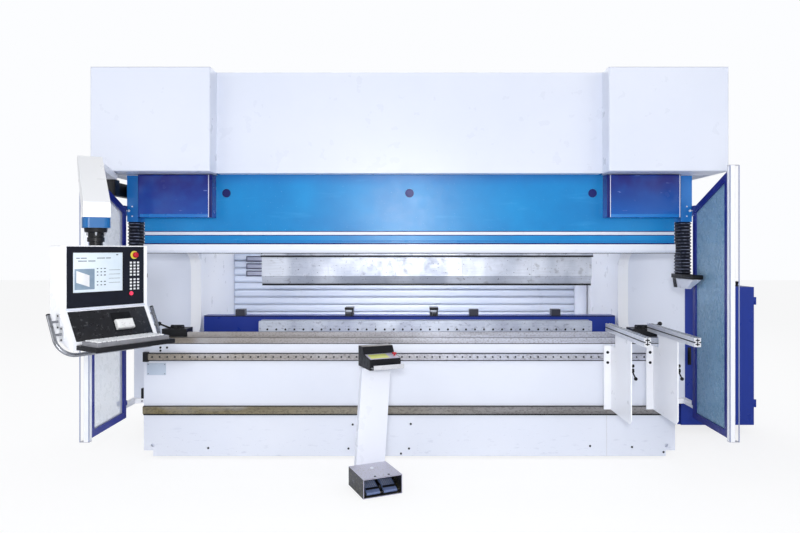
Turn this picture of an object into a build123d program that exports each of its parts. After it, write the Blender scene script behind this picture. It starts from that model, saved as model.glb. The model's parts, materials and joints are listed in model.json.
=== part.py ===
from build123d import *
import os
from math import atan2, cos, degrees, hypot, radians, sin

# Hydraulic press brake. Millimetres, +X to the operator's right, +Y to the back, +Z up.
# The origin is the centre of the four floor anchors, at floor level.

# Clearances and overruns
overrun = 20.0
slide_clearance = 0.3
pin_clearance = 0.05
seam = 1.0
sheet = 4.0

# Floor anchors and foot plates
anchor_outset = 60.0
anchor_spacing_y = 1200.0
anchor_radius = 14.0
foot_plate_height = 20.0
foot_plate_width = 260.0
foot_plate_depth = 200.0
foot_plate_edge = 60.0

# Bed, table and lower tool
bed_front_y = -850.0
bed_half_width = 2115.0
bed_thickness = 200.0
bed_top_z = 912.0
bed_corner_notch_x = 75.0
bed_corner_notch_z = 45.0
bed_hole_radius = 14.0
bed_hole_depth = 30.0
bed_hole_inset_x = 70.0
bed_hole_z = 105.0
table_end_inset = 105.0
table_depth = 280.0
table_height = 48.0
bend_line_setback = 140.0
die_left_gap = 581.0
die_right_gap = 325.0
die_width = 120.0
die_height = 124.0
die_groove_width = 44.0
die_groove_depth = 36.0
die_hole_pitch = 73.0
die_hole_radius = 7.0
die_hole_depth = 12.0
die_hole_rise = 58.0
die_rail_depth = 30.0
die_rail_height = 40.0
die_rail_end_gap = 15.0
end_clamp_end_gap = 10.0
end_clamp_length = 200.0
end_clamp_front = 75.0
end_clamp_depth = 150.0
end_clamp_height = 62.0
end_clamp_step = 50.0
end_clamp_knob_radius = 26.0

# Support rail on the bed's front and the guide bar below it
rail_centre_z = 812.0
rail_height = 62.0
rail_thickness = 25.0
rail_end_inset = 43.0
rail_groove_height = 14.0
rail_groove_depth = 6.0
rail_hole_pitch = 60.0
rail_hole_radius = 8.0
rail_hole_depth = 8.0
rail_stop_length = 40.0
rail_stop_height = 76.0
rail_stop_thickness = 30.0
guide_bar_bottom_z = 362.0
guide_bar_height = 56.0
guide_bar_thickness = 25.0

# Side frames
frame_bed_inset = 275.0
frame_thickness = 90.0
frame_back = 1700.0
frame_shoulder_z = 2250.0
frame_slope_back = 960.0
upper_arm_front = 230.0
throat_back = 570.0
throat_top_z = 1635.0
throat_radius = 150.0
tie_depth = 180.0
upper_tie_front = 450.0
upper_tie_rise = 50.0
upper_tie_height = 280.0
lower_tie_back_gap = 100.0
lower_tie_bottom_z = 100.0
lower_tie_height = 300.0

# Ram and upper tools
ram_front = 80.0
ram_thickness = 120.0
ram_overhang = 25.0
ram_bottom_z = 1706.0
ram_top_z = 2350.0
ram_hole_radius = 35.0
ram_hole_x = 1480.0
ram_hole_z = 2119.0
ram_stroke = 215.0
clamp_lip_height = 69.0
clamp_lip_overhang = 24.0
punch_left_x = -1200.0
punch_lengths = (540.0, 545.0, 544.0, 564.0, 487.0)
punch_height = 265.0
punch_shank_half_width = 13.0
punch_shank_height = 34.0
punch_half_width = 34.0
punch_body_height = 154.0
punch_tip_half_width = 3.0
guide_block_width = 80.0
guide_block_height = 300.0
guide_block_rise = 60.0

# Cylinders, piston rods and power pack
cylinder_width = 250.0
cylinder_front = 40.0
cylinder_gap = 130.0
cylinder_height = 400.0
cylinder_edge = 30.0
rod_radius = 55.0
rod_guide = 100.0
tank_half_width = 600.0
tank_depth = 420.0
tank_height = 260.0
tank_edge = 20.0
motor_radius = 105.0
motor_length = 420.0
motor_foot_width = 160.0
motor_foot_height = 24.0
motor_shaft_radius = 40.0
motor_shaft_length = 60.0
pipe_radius = 16.0
pipe_bend_radius = 40.0
pipe_rise = 80.0

# Covers
head_inner_x = 1521.0
head_outset = 506.0
head_front = -220.0
head_bottom_z = 2261.0
cover_headroom = 180.0
cover_back = 1000.0
head_edge = 12.0
head_floor_back = 60.0
centre_front = -46.0
centre_bottom_z = 2266.0
side_cover_outset = 520.0
side_cover_front = 600.0
side_cover_bottom_z = 300.0
side_cover_top_z = 2256.0
side_cover_edge = 16.0

# Rear guard
rear_guard_back = 1690.0
rear_guard_rib_depth = 30.0
rear_guard_bottom_z = 408.0
rear_guard_pitch = 76.0
rear_guard_ribs = 16
rear_rib_face_share = 0.72
rear_post_inset = 68.0
rear_post_radius = 62.0
rear_post_front_gap = 90.0

# Guard windows, laser posts, bellows and laser heads on the ram's ends
window_width = 588.0
window_overhang = 10.0
window_front = -35.0
window_bottom_z = 1918.0
window_top_z = 2257.0
window_edge = 10.0
window_wall = 5.0
post_gap = 38.0
post_width = 90.0
post_front = 45.0
post_depth = 150.0
post_bottom_z = 1886.0
post_top_z = 2257.0
post_flange_depth = 90.0
bellows_bottom_z = 1467.0
bellows_folds = 16
bellows_fold_depth = 10.0
laser_plate_margin = 18.0
laser_plate_inset = 23.0
laser_plate_reach = 255.0
laser_body_margin = 20.0
laser_plate_height = 34.0
laser_body_height = 80.0
laser_body_taper_share = 0.62
laser_lens_radius = 18.0
laser_lens_depth = 8.0

# Side guard doors and their hinge arms
door_bed_gap = 155.0
door_thickness = 30.0
door_hinge_y = 20.0
door_length = 594.0
door_bottom_z = 325.0
door_hinge_top_z = 1988.0
door_front_top_z = 2222.0
door_stile = 50.0
door_pane_thickness = 8.0
door_pane_lap = 12.0
profile_width = 40.0
profile_below = 18.0
profile_above = 37.0
profile_groove = 12.0
hinge_low_z = 403.0
hinge_high_z = 1956.0
hinge_arm_height = 40.0
hinge_arm_width = 40.0
hinge_arm_front = 236.0
hinge_pin_radius = 9.0
hinge_eye_radius = 18.0
hinge_axis_out = 30.0
hinge_knuckle_height = 36.0

# Electrical cabinet on the right
cabinet_gap = 2.0
cabinet_width = 658.0
cabinet_front = 700.0
cabinet_depth = 480.0
cabinet_bottom_z = 80.0
cabinet_height = 1246.0
cabinet_wall = 12.0
cabinet_door_thickness = 24.0
cabinet_plinth_height = 212.0
cabinet_hinge_out = 14.0
cabinet_eye_radius = 12.0
cabinet_pin_radius = 6.0
cabinet_hinge_height = 34.0
cabinet_hinge_inset = 160.0
cabinet_hinge_leaf = 60.0

# Bracket and swing arm that carry the console
arm_pivot_outset = 400.0
arm_pivot_setback = -100.0
arm_elbow_outset = 130.0
arm_elbow_setback = -1000.0
arm_end_inset = 135.0
arm_end_setback = -1464.0
arm_width = 90.0
arm_slope_width = 140.0
arm_height = 48.0
arm_bracket_size = 100.0
arm_bracket_edge = 18.0
arm_bracket_bottom_z = 2081.0
arm_bracket_top_z = 2206.0
arm_pin_radius = 25.0
arm_carrier_inset = 10.0
arm_carrier_front = 240.0
arm_carrier_width = 60.0
arm_end_height = 85.0
collar_top_z = 1845.0
collar_height = 59.0
collar_width = 145.0
collar_edge = 34.0
swivel_pin_radius = 22.0
swivel_pin_height = 40.0

# Console, in its own frame: x along the panel, y away from the operator, z up from the floor
console_yaw = 56.0
console_left_x = -232.0
console_right_x = 292.0
console_back = 60.0
console_front = -60.0
console_top_z = 1685.0
console_knee_z = 1332.0
console_lip_y = -158.0
console_lip_z = 1165.0
console_lip_height = 45.0
console_belly_z = 1200.0
console_edge = 8.0
yoke_top_radius = 58.0
yoke_waist_radius = 42.0
yoke_base_radius = 56.0
yoke_rim_height = 26.0
yoke_base_height = 20.0
yoke_prong_height = 40.0
yoke_prong_width = 16.0
panel_left_x = -202.0
panel_right_x = 262.0
panel_bottom_z = 1342.0
panel_top_z = 1679.0
panel_thickness = 4.0
screen_left_x = -169.0
screen_right_x = 125.0
screen_bottom_z = 1425.0
screen_top_z = 1645.0
screen_depth = 2.0
stop_x = 199.0
stop_z = 1631.0
stop_stem_radius = 8.0
stop_cap_radius = 17.0
stop_cap_height = 14.0
stop_stem_height = 12.0
stop_hole_depth = 30.0
button_x = 178.0
button_z = 1405.0
button_radius = 12.0
button_height = 8.0
button_hole_depth = 20.0
tray_depth = 197.0
tray_top_z = 1150.0
tray_thickness = 24.0
keyboard_length = 430.0
keyboard_depth = 150.0
keyboard_height = 22.0
keyboard_edge = 5.0
mouse_x = 95.0
mouse_length = 105.0
mouse_width = 58.0
mouse_height = 32.0
mouse_edge = 12.0
mouse_place_share = 0.61
hand_rail_radius = 11.0
hand_rail_bend = 100.0
hand_rail_left_x = -280.0
hand_rail_right_x = 345.0
hand_rail_top_y = -20.0
hand_rail_top_z = 1310.0
hand_rail_low_y = -130.0
hand_rail_low_z = 1095.0
hand_rail_stub_radius = 7.0
hand_rail_stub_shares = (0.17, 0.48)

# Back gauge
gauge_rail_width = 90.0
gauge_rail_height = 75.0
gauge_rail_top_z = 925.0
gauge_rail_front = 300.0
gauge_rail_back = 1500.0
gauge_beam_side_gap = 40.0
gauge_beam_front = 520.0
gauge_beam_depth = 120.0
gauge_beam_top_z = 1086.0
finger_left_x = -529.0
finger_right_x = 214.0
finger_block_width = 70.0
finger_block_height = 64.0
finger_tip_width = 34.0
finger_tip_length = 90.0
finger_tip_height = 24.0
finger_tip_rise = 6.0
rest_block_x = (-1483.0, 564.0, 1282.0)
rest_block_width = 80.0
rest_block_depth = 70.0
rest_block_height = 55.0

# Sheet supports on the rail
inner_support_inset = 525.0
outer_support_inset = 190.0
support_plate = 8.0
support_flange_width = 52.0
support_flange_thickness = 12.0
support_bottom_z = 400.0
support_flange_top_z = 905.0
support_step = 150.0
support_front = 510.0
support_corner = 30.0
support_bolt_radius = 11.0
support_bolt_height = 7.0
support_bolt_inset = 26.0
support_hook_height = 18.0
support_rail_bottom_z = 1010.0
support_rail_height = 62.0
support_rail_width = 45.0
support_rail_front = 830.0
support_rail_back = 40.0
support_slot_width = 9.0
support_slot_depth = 12.0
lever_z = 786.0
lever_setback = -470.0
lever_hub_radius = 15.0
lever_hub_height = 26.0
lever_bolt_radius = 7.0
lever_arm_radius = 5.0
lever_arm_length = 66.0
lever_ball_radius = 13.0
lever_tilt = 25.0

# Pedal stand, in its own frame with its origin under the middle of the pedal box
stand_x = -240.0
stand_setback = -662.0
stand_yaw = 24.0
pedal_box_width = 282.0
pedal_box_depth = 304.0
pedal_box_height = 130.0
pedal_box_wall = 6.0
pedal_width = 96.0
pedal_gap = 28.0
pedal_length = 180.0
pedal_thickness = 12.0
pedal_tilt = 20.0
pedal_pin_radius = 5.0
pedal_eye_radius = 11.0
pedal_pin_inset = 27.0
pedal_pin_z = 22.0
column_width = 219.0
column_depth = 45.0
column_height = 815.0
column_offset = 17.0
column_lean = 54.0
operator_box_width = 236.0
operator_box_shift = 25.0
operator_box_front = 40.0
operator_box_depth = 245.0
operator_box_height = 75.0
operator_box_edge = 6.0
operator_deck_rise = 20.0
operator_cover_depth = 120.0
operator_cover_height = 70.0
operator_cover_slope = 32.0
flap_inset = 4.0
flap_reach = 62.0
flap_thickness = 6.0
flap_lip = 30.0
flap_rise = 12.0
stand_stop_inset_x = 26.0
stand_stop_y = 100.0


def box_between(x, y, z):
    """Block between the pairs of limits x, y and z."""
    limits = (x, y, z)
    size = [abs(high - low) for low, high in limits]
    middle = [(low + high) / 2 for low, high in limits]
    return Pos(*middle) * Box(*size)


def rod(start, direction, radius, length):
    """Round bar from a start point along a direction."""
    ends = (Align.CENTER, Align.CENTER, Align.MIN)
    return Plane(origin=start, z_dir=direction) * Cylinder(radius, length, align=ends)


def plate_yz(points, x_low, x_high):
    """Plate with an outline of (y, z) points, standing between two x limits."""
    plane = Plane(origin=(x_low, 0, 0), x_dir=(0, 1, 0), z_dir=(1, 0, 0))
    face = plane * make_face(Polyline(*points, close=True))
    return extrude(face, amount=x_high - x_low, dir=(1, 0, 0))


def plate_xy(points, z_low, z_high):
    """Plate with an outline of (x, y) points, lying between two z limits."""
    face = Pos(0, 0, z_low) * make_face(Polyline(*points, close=True))
    return extrude(face, amount=z_high - z_low, dir=(0, 0, 1))


def mirrored(part):
    """The same piece on the machine's other side."""
    return mirror(part, about=Plane.YZ)


def at(setback):
    """Y of a place that lies a setback behind the bed's front face."""
    return bed_front_y + setback


nodes = {}

# Places that several pieces share
bed_back_y = at(bed_thickness)
table_top_z = bed_top_z + table_height
table_half_width = bed_half_width - table_end_inset
end_clamp_inner_x = table_half_width - end_clamp_end_gap - end_clamp_length
die_left_x = die_left_gap - end_clamp_inner_x
die_length = 2 * end_clamp_inner_x - die_left_gap - die_right_gap
bend_y = at(bend_line_setback)
rail_half_width = bed_half_width - rail_end_inset
frame_inner_x = bed_half_width - frame_bed_inset
frame_outer_x = frame_inner_x + frame_thickness
anchor_spacing_x = 2 * (frame_outer_x + anchor_outset)
ram_half_width = bed_half_width + ram_overhang
window_outer_x = ram_half_width + window_overhang
window_inner_x = window_outer_x - window_width
post_inner_x = ram_half_width + post_gap
door_x = bed_half_width + door_bed_gap
head_outer_x = frame_outer_x + head_outset
side_cover_outer_x = frame_outer_x + side_cover_outset
rear_post_x = frame_inner_x - rear_post_inset
gauge_beam_half_width = frame_inner_x - gauge_beam_side_gap
upper_tie_bottom_z = ram_top_z + upper_tie_rise
cylinder_bottom_z = ram_top_z + cylinder_gap
cover_top_z = cylinder_bottom_z + cylinder_height + cover_headroom
frame_top_z = cover_top_z - sheet
frame_mid_x = frame_inner_x + frame_thickness / 2
upper_arm_y = at(upper_arm_front)
ram_back_y = at(ram_front + ram_thickness)
clamp_bottom_z = ram_bottom_z - clamp_lip_height
rail_top_z = rail_centre_z + rail_height / 2
rail_bottom_z = rail_centre_z - rail_height / 2
hinge_axis_x = door_x + hinge_axis_out
hinge_axis_y = at(door_hinge_y)
post_outer_x = post_inner_x + post_width
rod_reach = ram_stroke + rod_guide


# Foot plates with one anchor hole each
def foot_plate(side, end):
    hole_x = side * anchor_spacing_x / 2
    hole_y = end * anchor_spacing_y / 2
    outer_x = hole_x + side * foot_plate_edge
    x_limits = sorted((outer_x, outer_x - side * foot_plate_width))
    y_limits = (hole_y - foot_plate_depth / 2, hole_y + foot_plate_depth / 2)
    plate = box_between(x_limits, y_limits, (0, foot_plate_height))
    hole_length = foot_plate_height + 2 * overrun
    return plate - rod((hole_x, hole_y, -overrun), (0, 0, 1), anchor_radius, hole_length)


nodes["foot_plates"] = [foot_plate(side, end) for side in (-1, 1) for end in (-1, 1)]


# Side frame: a thick plate with the throat cut out, and two arms that carry the guard door
def hinge_arm(z_middle):
    z_limits = (z_middle - hinge_arm_height / 2, z_middle + hinge_arm_height / 2)
    arm_y = at(hinge_arm_front)
    side_x = hinge_axis_x + hinge_eye_radius
    cross = box_between((frame_outer_x, side_x), (arm_y, arm_y + hinge_arm_width), z_limits)
    forward_x = (hinge_axis_x - hinge_eye_radius, side_x)
    forward = box_between(forward_x, (hinge_axis_y, arm_y + hinge_arm_width), z_limits)
    eye_start = (hinge_axis_x, hinge_axis_y, z_limits[0])
    eye = rod(eye_start, (0, 0, 1), hinge_eye_radius, hinge_arm_height)
    pin_length = hinge_arm_height + hinge_knuckle_height
    pin = rod(eye_start, (0, 0, 1), hinge_pin_radius, pin_length)
    return cross + forward + eye + pin


def side_frame():
    outline = [
        (bed_back_y, foot_plate_height),
        (bed_back_y, bed_top_z),
        (at(throat_back), bed_top_z),
        (at(throat_back), throat_top_z),
        (upper_arm_y, throat_top_z),
        (upper_arm_y, frame_top_z),
        (at(frame_slope_back), frame_top_z),
        (at(frame_back), frame_shoulder_z),
        (at(frame_back), foot_plate_height),
    ]
    plate = plate_yz(outline, frame_inner_x, frame_outer_x)
    cross_edges = plate.edges().filter_by(Axis.X)
    back_edges = [edge for edge in cross_edges if abs(edge.center().Y - at(throat_back)) < seam]
    corner_edges = [edge for edge in back_edges if bed_top_z - seam < edge.center().Z < throat_top_z + seam]
    plate = fillet(corner_edges, throat_radius)
    for z_middle in (hinge_low_z, hinge_high_z):
        plate = plate + hinge_arm(z_middle)
    return plate


nodes["right_side_frame"] = [side_frame()]
nodes["left_side_frame"] = [mirrored(side_frame())]


# Ties between the side frames
def frame_ties():
    span = (-frame_inner_x, frame_inner_x)
    upper_y = (at(upper_tie_front), at(upper_tie_front + tie_depth))
    upper_z = (upper_tie_bottom_z, upper_tie_bottom_z + upper_tie_height)
    lower_back = at(frame_back - lower_tie_back_gap)
    lower_z = (lower_tie_bottom_z, lower_tie_bottom_z + lower_tie_height)
    return [
        box_between(span, upper_y, upper_z),
        box_between(span, (lower_back - tie_depth, lower_back), lower_z),
    ]


nodes["frame_ties"] = frame_ties()


# Bed: a thick plate in front of the frames, notched at its lower corners
def bed_plate():
    x_limits = (-bed_half_width, bed_half_width)
    y_limits = (bed_front_y, bed_back_y)
    plate = box_between(x_limits, y_limits, (foot_plate_height, bed_top_z))
    notch_top = foot_plate_height + bed_corner_notch_z
    for side in (-1, 1):
        notch_x = sorted((side * (bed_half_width - bed_corner_notch_x), side * (bed_half_width + overrun)))
        notch_y = (bed_front_y - overrun, bed_back_y + overrun)
        plate = plate - box_between(notch_x, notch_y, (foot_plate_height - overrun, notch_top))
        hole_start = (side * (bed_half_width - bed_hole_inset_x), bed_front_y - overrun, bed_hole_z)
        plate = plate - rod(hole_start, (0, 1, 0), bed_hole_radius, bed_hole_depth + overrun)
    return plate


nodes["bed_plate"] = [bed_plate()]

# Table, and along its front the bar that the lower tool stands against
table_x = (-table_half_width, table_half_width)
table = box_between(table_x, (bed_front_y, at(table_depth)), (bed_top_z, table_top_z))
die_front_y = bend_y - die_width / 2
die_rail_x = (die_rail_end_gap - end_clamp_inner_x, end_clamp_inner_x - die_rail_end_gap)
die_rail_y = (die_front_y - die_rail_depth, die_front_y)
die_rail = box_between(die_rail_x, die_rail_y, (table_top_z, table_top_z + die_rail_height))
nodes["table_bar"] = [table, die_rail]


# Lower tool with its V groove and the row of holes along its front
def die():
    low_y = die_front_y
    high_y = bend_y + die_width / 2
    top_z = table_top_z + die_height
    outline = [
        (low_y, table_top_z),
        (low_y, top_z),
        (bend_y - die_groove_width / 2, top_z),
        (bend_y, top_z - die_groove_depth),
        (bend_y + die_groove_width / 2, top_z),
        (high_y, top_z),
        (high_y, table_top_z),
    ]
    block = plate_yz(outline, die_left_x, die_left_x + die_length)
    count = int(die_length / die_hole_pitch)
    first_x = die_left_x + (die_length - (count - 1) * die_hole_pitch) / 2
    drills = [
        rod(
            (first_x + index * die_hole_pitch, low_y - overrun, table_top_z + die_hole_rise),
            (0, 1, 0),
            die_hole_radius,
            die_hole_depth + overrun,
        )
        for index in range(count)
    ]
    return block - drills


nodes["die"] = [die()]


# Clamping units at the table's ends
def end_clamp():
    x_limits = (end_clamp_inner_x, end_clamp_inner_x + end_clamp_length)
    y_limits = (at(end_clamp_front), at(end_clamp_front + end_clamp_depth))
    step_x = x_limits[1] - end_clamp_step
    step_z = table_top_z + end_clamp_height
    base = box_between(x_limits, y_limits, (table_top_z, step_z))
    knob_length = end_clamp_length / 2
    knob_start = (step_x - knob_length, (y_limits[0] + y_limits[1]) / 2, step_z)
    knob = rod(knob_start, (1, 0, 0), end_clamp_knob_radius, knob_length)
    return base + knob


nodes["table_end_clamps"] = [end_clamp(), mirrored(end_clamp())]


# Rail for the sheet supports, with its row of bolt holes and its end stops
def support_rail():
    front_y = bed_front_y - rail_thickness
    x_limits = (-rail_half_width, rail_half_width)
    bar = box_between(x_limits, (front_y, bed_front_y), (rail_bottom_z, rail_top_z))
    groove_x = (x_limits[0] - overrun, x_limits[1] + overrun)
    for z_low in (rail_bottom_z - overrun, rail_top_z - rail_groove_depth):
        groove_z = (z_low, z_low + overrun + rail_groove_depth)
        groove_y = (front_y + rail_groove_height - rail_groove_depth, front_y + rail_groove_height)
        bar = bar - box_between(groove_x, groove_y, groove_z)
    count = int(2 * rail_half_width / rail_hole_pitch)
    first_x = -(count - 1) * rail_hole_pitch / 2
    drills = [
        rod(
            (first_x + index * rail_hole_pitch, front_y - overrun, rail_centre_z),
            (0, 1, 0),
            rail_hole_radius,
            rail_hole_depth + overrun,
        )
        for index in range(count)
    ]
    return bar - drills


def rail_stop():
    x_limits = (rail_half_width, rail_half_width + rail_stop_length)
    y_limits = (bed_front_y - rail_stop_thickness, bed_front_y)
    z_limits = (rail_centre_z - rail_stop_height / 2, rail_centre_z + rail_stop_height / 2)
    return box_between(x_limits, y_limits, z_limits)


nodes["support_rail"] = [support_rail(), rail_stop(), mirrored(rail_stop())]

guide_bar_y = (bed_front_y - guide_bar_thickness, bed_front_y)
guide_bar_z = (guide_bar_bottom_z, guide_bar_bottom_z + guide_bar_height)
nodes["lower_guide_bar"] = [box_between((-bed_half_width, bed_half_width), guide_bar_y, guide_bar_z)]


# Ram: a thick beam with three round holes
def ram():
    x_limits = (-ram_half_width, ram_half_width)
    beam = box_between(x_limits, (at(ram_front), ram_back_y), (ram_bottom_z, ram_top_z))
    drill_length = ram_thickness + 2 * overrun
    for hole_x in (-ram_hole_x, 0, ram_hole_x):
        drill_start = (hole_x, at(ram_front) - overrun, ram_hole_z)
        beam = beam - rod(drill_start, (0, 1, 0), ram_hole_radius, drill_length)
    return beam


nodes["ram"] = [ram()]

clamp_front_y = at(ram_front) - clamp_lip_overhang
clamp_x = (-ram_half_width, ram_half_width)
nodes["punch_clamp"] = [box_between(clamp_x, (clamp_front_y, ram_back_y), (clamp_bottom_z, ram_bottom_z))]


# Upper tools: a row of tapered punches below the clamp
def punch(left_x, length):
    shoulder_z = clamp_bottom_z - punch_shank_height
    body_z = shoulder_z - punch_body_height
    tip_z = clamp_bottom_z - punch_height
    half_outline = [
        (punch_shank_half_width, clamp_bottom_z),
        (punch_shank_half_width, shoulder_z),
        (punch_half_width, shoulder_z),
        (punch_half_width, body_z),
        (punch_tip_half_width, tip_z),
    ]
    front = [(bend_y - half, z) for half, z in half_outline]
    back = [(bend_y + half, z) for half, z in reversed(half_outline)]
    return plate_yz(front + back, left_x, left_x + length - seam)


def punch_row():
    row = []
    left_x = punch_left_x
    for length in punch_lengths:
        row.append(punch(left_x, length))
        left_x = left_x + length
    return row


nodes["punches"] = punch_row()


# Guide blocks on the frames, just behind the ram
def ram_guide(z_low):
    x_limits = (frame_mid_x - guide_block_width / 2, frame_mid_x + guide_block_width / 2)
    y_limits = (ram_back_y + slide_clearance, upper_arm_y)
    return box_between(x_limits, y_limits, (z_low, z_low + guide_block_height))


def ram_guides():
    low_z = throat_top_z + guide_block_rise
    high_z = ram_top_z - guide_block_height
    pair = [ram_guide(low_z), ram_guide(high_z)]
    return pair + [mirrored(block) for block in pair]


nodes["ram_guides"] = ram_guides()


# Hydraulic cylinder on the front of a frame's upper arm, with the bore for its rod
def cylinder():
    x_limits = (frame_mid_x - cylinder_width / 2, frame_mid_x + cylinder_width / 2)
    z_limits = (cylinder_bottom_z, cylinder_bottom_z + cylinder_height)
    block = box_between(x_limits, (at(cylinder_front), upper_arm_y), z_limits)
    block = fillet(block.edges().filter_by(Axis.Z), cylinder_edge)
    bore_start = (frame_mid_x, bend_y, cylinder_bottom_z - overrun)
    bore_length = rod_reach + overrun + slide_clearance
    return block - rod(bore_start, (0, 0, 1), rod_radius + pin_clearance, bore_length)


nodes["hydraulic_cylinders"] = [cylinder(), mirrored(cylinder())]

rod_length = cylinder_bottom_z + rod_reach - ram_top_z
piston_rod = rod((frame_mid_x, bend_y, ram_top_z), (0, 0, 1), rod_radius, rod_length)
nodes["piston_rods"] = [piston_rod, mirrored(piston_rod)]


# Power pack on the upper tie: oil tank, pump motor and a pipe to each cylinder
tank_bottom_z = upper_tie_bottom_z + upper_tie_height
tank_top_z = tank_bottom_z + tank_height
tank_front_y = at(upper_tie_front)


def oil_tank():
    x_limits = (-tank_half_width, tank_half_width)
    y_limits = (tank_front_y, tank_front_y + tank_depth)
    tank = box_between(x_limits, y_limits, (tank_bottom_z, tank_top_z))
    return fillet(tank.edges().filter_by(Axis.Z), tank_edge)


def pump_motor():
    axis_z = tank_bottom_z + motor_foot_height + motor_radius
    axis_y = tank_front_y + tie_depth / 2
    body_x = tank_half_width + motor_shaft_length
    body = rod((body_x, axis_y, axis_z), (1, 0, 0), motor_radius, motor_length)
    shaft = rod((tank_half_width, axis_y, axis_z), (1, 0, 0), motor_shaft_radius, motor_shaft_length)
    foot_x = (body_x + motor_shaft_length, body_x + motor_length - motor_shaft_length)
    foot_y = (axis_y - motor_foot_width / 2, axis_y + motor_foot_width / 2)
    foot = box_between(foot_x, foot_y, (tank_bottom_z, axis_z - motor_shaft_radius))
    return body + shaft + foot


def pipe():
    start_y = tank_front_y + tank_depth / 2
    cylinder_top_z = cylinder_bottom_z + cylinder_height
    start_x = tank_half_width - motor_radius
    cylinder_y = (at(cylinder_front) + upper_arm_y) / 2
    points = [
        (start_x, start_y, tank_top_z),
        (start_x, start_y, tank_top_z + pipe_rise),
        (start_x, cylinder_y, tank_top_z + pipe_rise),
        (frame_mid_x, cylinder_y, tank_top_z + pipe_rise),
        (frame_mid_x, cylinder_y, cylinder_top_z),
    ]
    path = FilletPolyline(*points, radius=pipe_bend_radius)
    section = Plane(origin=points[0], z_dir=(0, 0, 1)) * Circle(pipe_radius)
    return sweep(section, path=path)


nodes["power_pack"] = [oil_tank(), pump_motor(), pipe(), mirrored(pipe())]


# Head cover: a folded sheet box, open at the back, below behind its floor, and towards the centre cover
def head_cover():
    x_limits = (head_inner_x, head_outer_x)
    y_limits = (at(head_front), at(cover_back))
    box = box_between(x_limits, y_limits, (head_bottom_z, cover_top_z))
    front_edges = box.faces().sort_by(Axis.Y)[0].edges()
    box = fillet(front_edges, head_edge)
    inner_x = (head_inner_x + sheet, head_outer_x - sheet)
    inner_y = (at(head_front) + sheet, at(cover_back) + overrun)
    box = box - box_between(inner_x, inner_y, (head_bottom_z + sheet, cover_top_z - sheet))
    opening_y = (at(head_floor_back), at(cover_back) + overrun)
    opening_z = (head_bottom_z - overrun, head_bottom_z + sheet + overrun)
    box = box - box_between(inner_x, opening_y, opening_z)
    side_x = (head_inner_x - overrun, head_inner_x + sheet + overrun)
    side_y = (at(centre_front), at(cover_back) + overrun)
    return box - box_between(side_x, side_y, (head_bottom_z - overrun, cover_top_z - sheet))


nodes["right_head_cover"] = [head_cover()]
nodes["left_head_cover"] = [mirrored(head_cover())]


# Centre cover: front, top and a lip along the lower edge, between the head covers
def centre_cover():
    front_y = at(centre_front)
    x_limits = (-head_inner_x, head_inner_x)
    outline = [
        (front_y, centre_bottom_z),
        (front_y, cover_top_z),
        (at(cover_back), cover_top_z),
        (at(cover_back), cover_top_z - sheet),
        (front_y + sheet, cover_top_z - sheet),
        (front_y + sheet, centre_bottom_z + sheet),
        (at(head_floor_back), centre_bottom_z + sheet),
        (at(head_floor_back), centre_bottom_z),
    ]
    return plate_yz(outline, *x_limits)


nodes["centre_cover"] = [centre_cover()]


# Side cover: a sheet box beside the frame, open towards it and below
def side_cover():
    x_limits = (frame_outer_x, side_cover_outer_x)
    y_limits = (at(side_cover_front), at(frame_back))
    box = box_between(x_limits, y_limits, (side_cover_bottom_z, side_cover_top_z))
    box = fillet(box.edges().filter_by(Axis.Z).group_by(Axis.X)[-1], side_cover_edge)
    inner_x = (frame_outer_x - overrun, side_cover_outer_x - sheet)
    inner_y = (y_limits[0] + sheet, y_limits[1] - sheet)
    return box - box_between(inner_x, inner_y, (side_cover_bottom_z - overrun, side_cover_top_z - sheet))


nodes["right_side_cover"] = [side_cover()]
nodes["left_side_cover"] = [mirrored(side_cover())]


# Rear guard: a ribbed sheet between the frames, and a round post in front of it
def rear_guard():
    back_y = at(rear_guard_back)
    rib_y = back_y - rear_guard_rib_depth
    front = []
    for index in range(rear_guard_ribs):
        z_low = rear_guard_bottom_z + index * rear_guard_pitch
        slope = rear_guard_pitch * (1 - rear_rib_face_share) / 2
        front.append((rib_y + rear_guard_rib_depth / 2, z_low))
        front.append((rib_y, z_low + slope))
        front.append((rib_y, z_low + rear_guard_pitch - slope))
    top_z = rear_guard_bottom_z + rear_guard_ribs * rear_guard_pitch
    front.append((rib_y + rear_guard_rib_depth / 2, top_z))
    outline = front + [(back_y, top_z), (back_y, rear_guard_bottom_z)]
    return plate_yz(outline, -frame_inner_x, frame_inner_x)


def rear_post():
    bottom_z = lower_tie_bottom_z + lower_tie_height
    post_y = at(rear_guard_back - rear_guard_rib_depth) - rear_post_front_gap
    top_z = rear_guard_bottom_z + rear_guard_ribs * rear_guard_pitch
    return rod((rear_post_x, post_y, bottom_z), (0, 0, 1), rear_post_radius, top_z - bottom_z)


nodes["rear_guard"] = [rear_guard(), rear_post()]


# Guard windows: a shallow box in front of each end of the ram
def guard_window():
    x_limits = (window_inner_x, window_outer_x)
    y_limits = (at(window_front), at(ram_front))
    window = box_between(x_limits, y_limits, (window_bottom_z, window_top_z))
    front_edges = window.faces().sort_by(Axis.Y)[0].edges()
    window = fillet(front_edges, window_edge)
    inner_x = (window_inner_x + window_wall, window_outer_x - window_wall)
    inner_y = (at(window_front) + window_wall, at(ram_front) + overrun)
    inner_z = (window_bottom_z + window_wall, window_top_z - window_wall)
    return window - box_between(inner_x, inner_y, inner_z)


nodes["guard_windows"] = [guard_window(), mirrored(guard_window())]


# Laser posts on the ram's ends, each with a flange that reaches the ram
def laser_post():
    y_limits = (at(post_front), at(post_front + post_depth))
    z_limits = (post_bottom_z, post_top_z)
    post = box_between((post_inner_x, post_outer_x), y_limits, z_limits)
    flange_y = (y_limits[1] - post_flange_depth, y_limits[1])
    return post + box_between((ram_half_width, post_inner_x), flange_y, z_limits)


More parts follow.
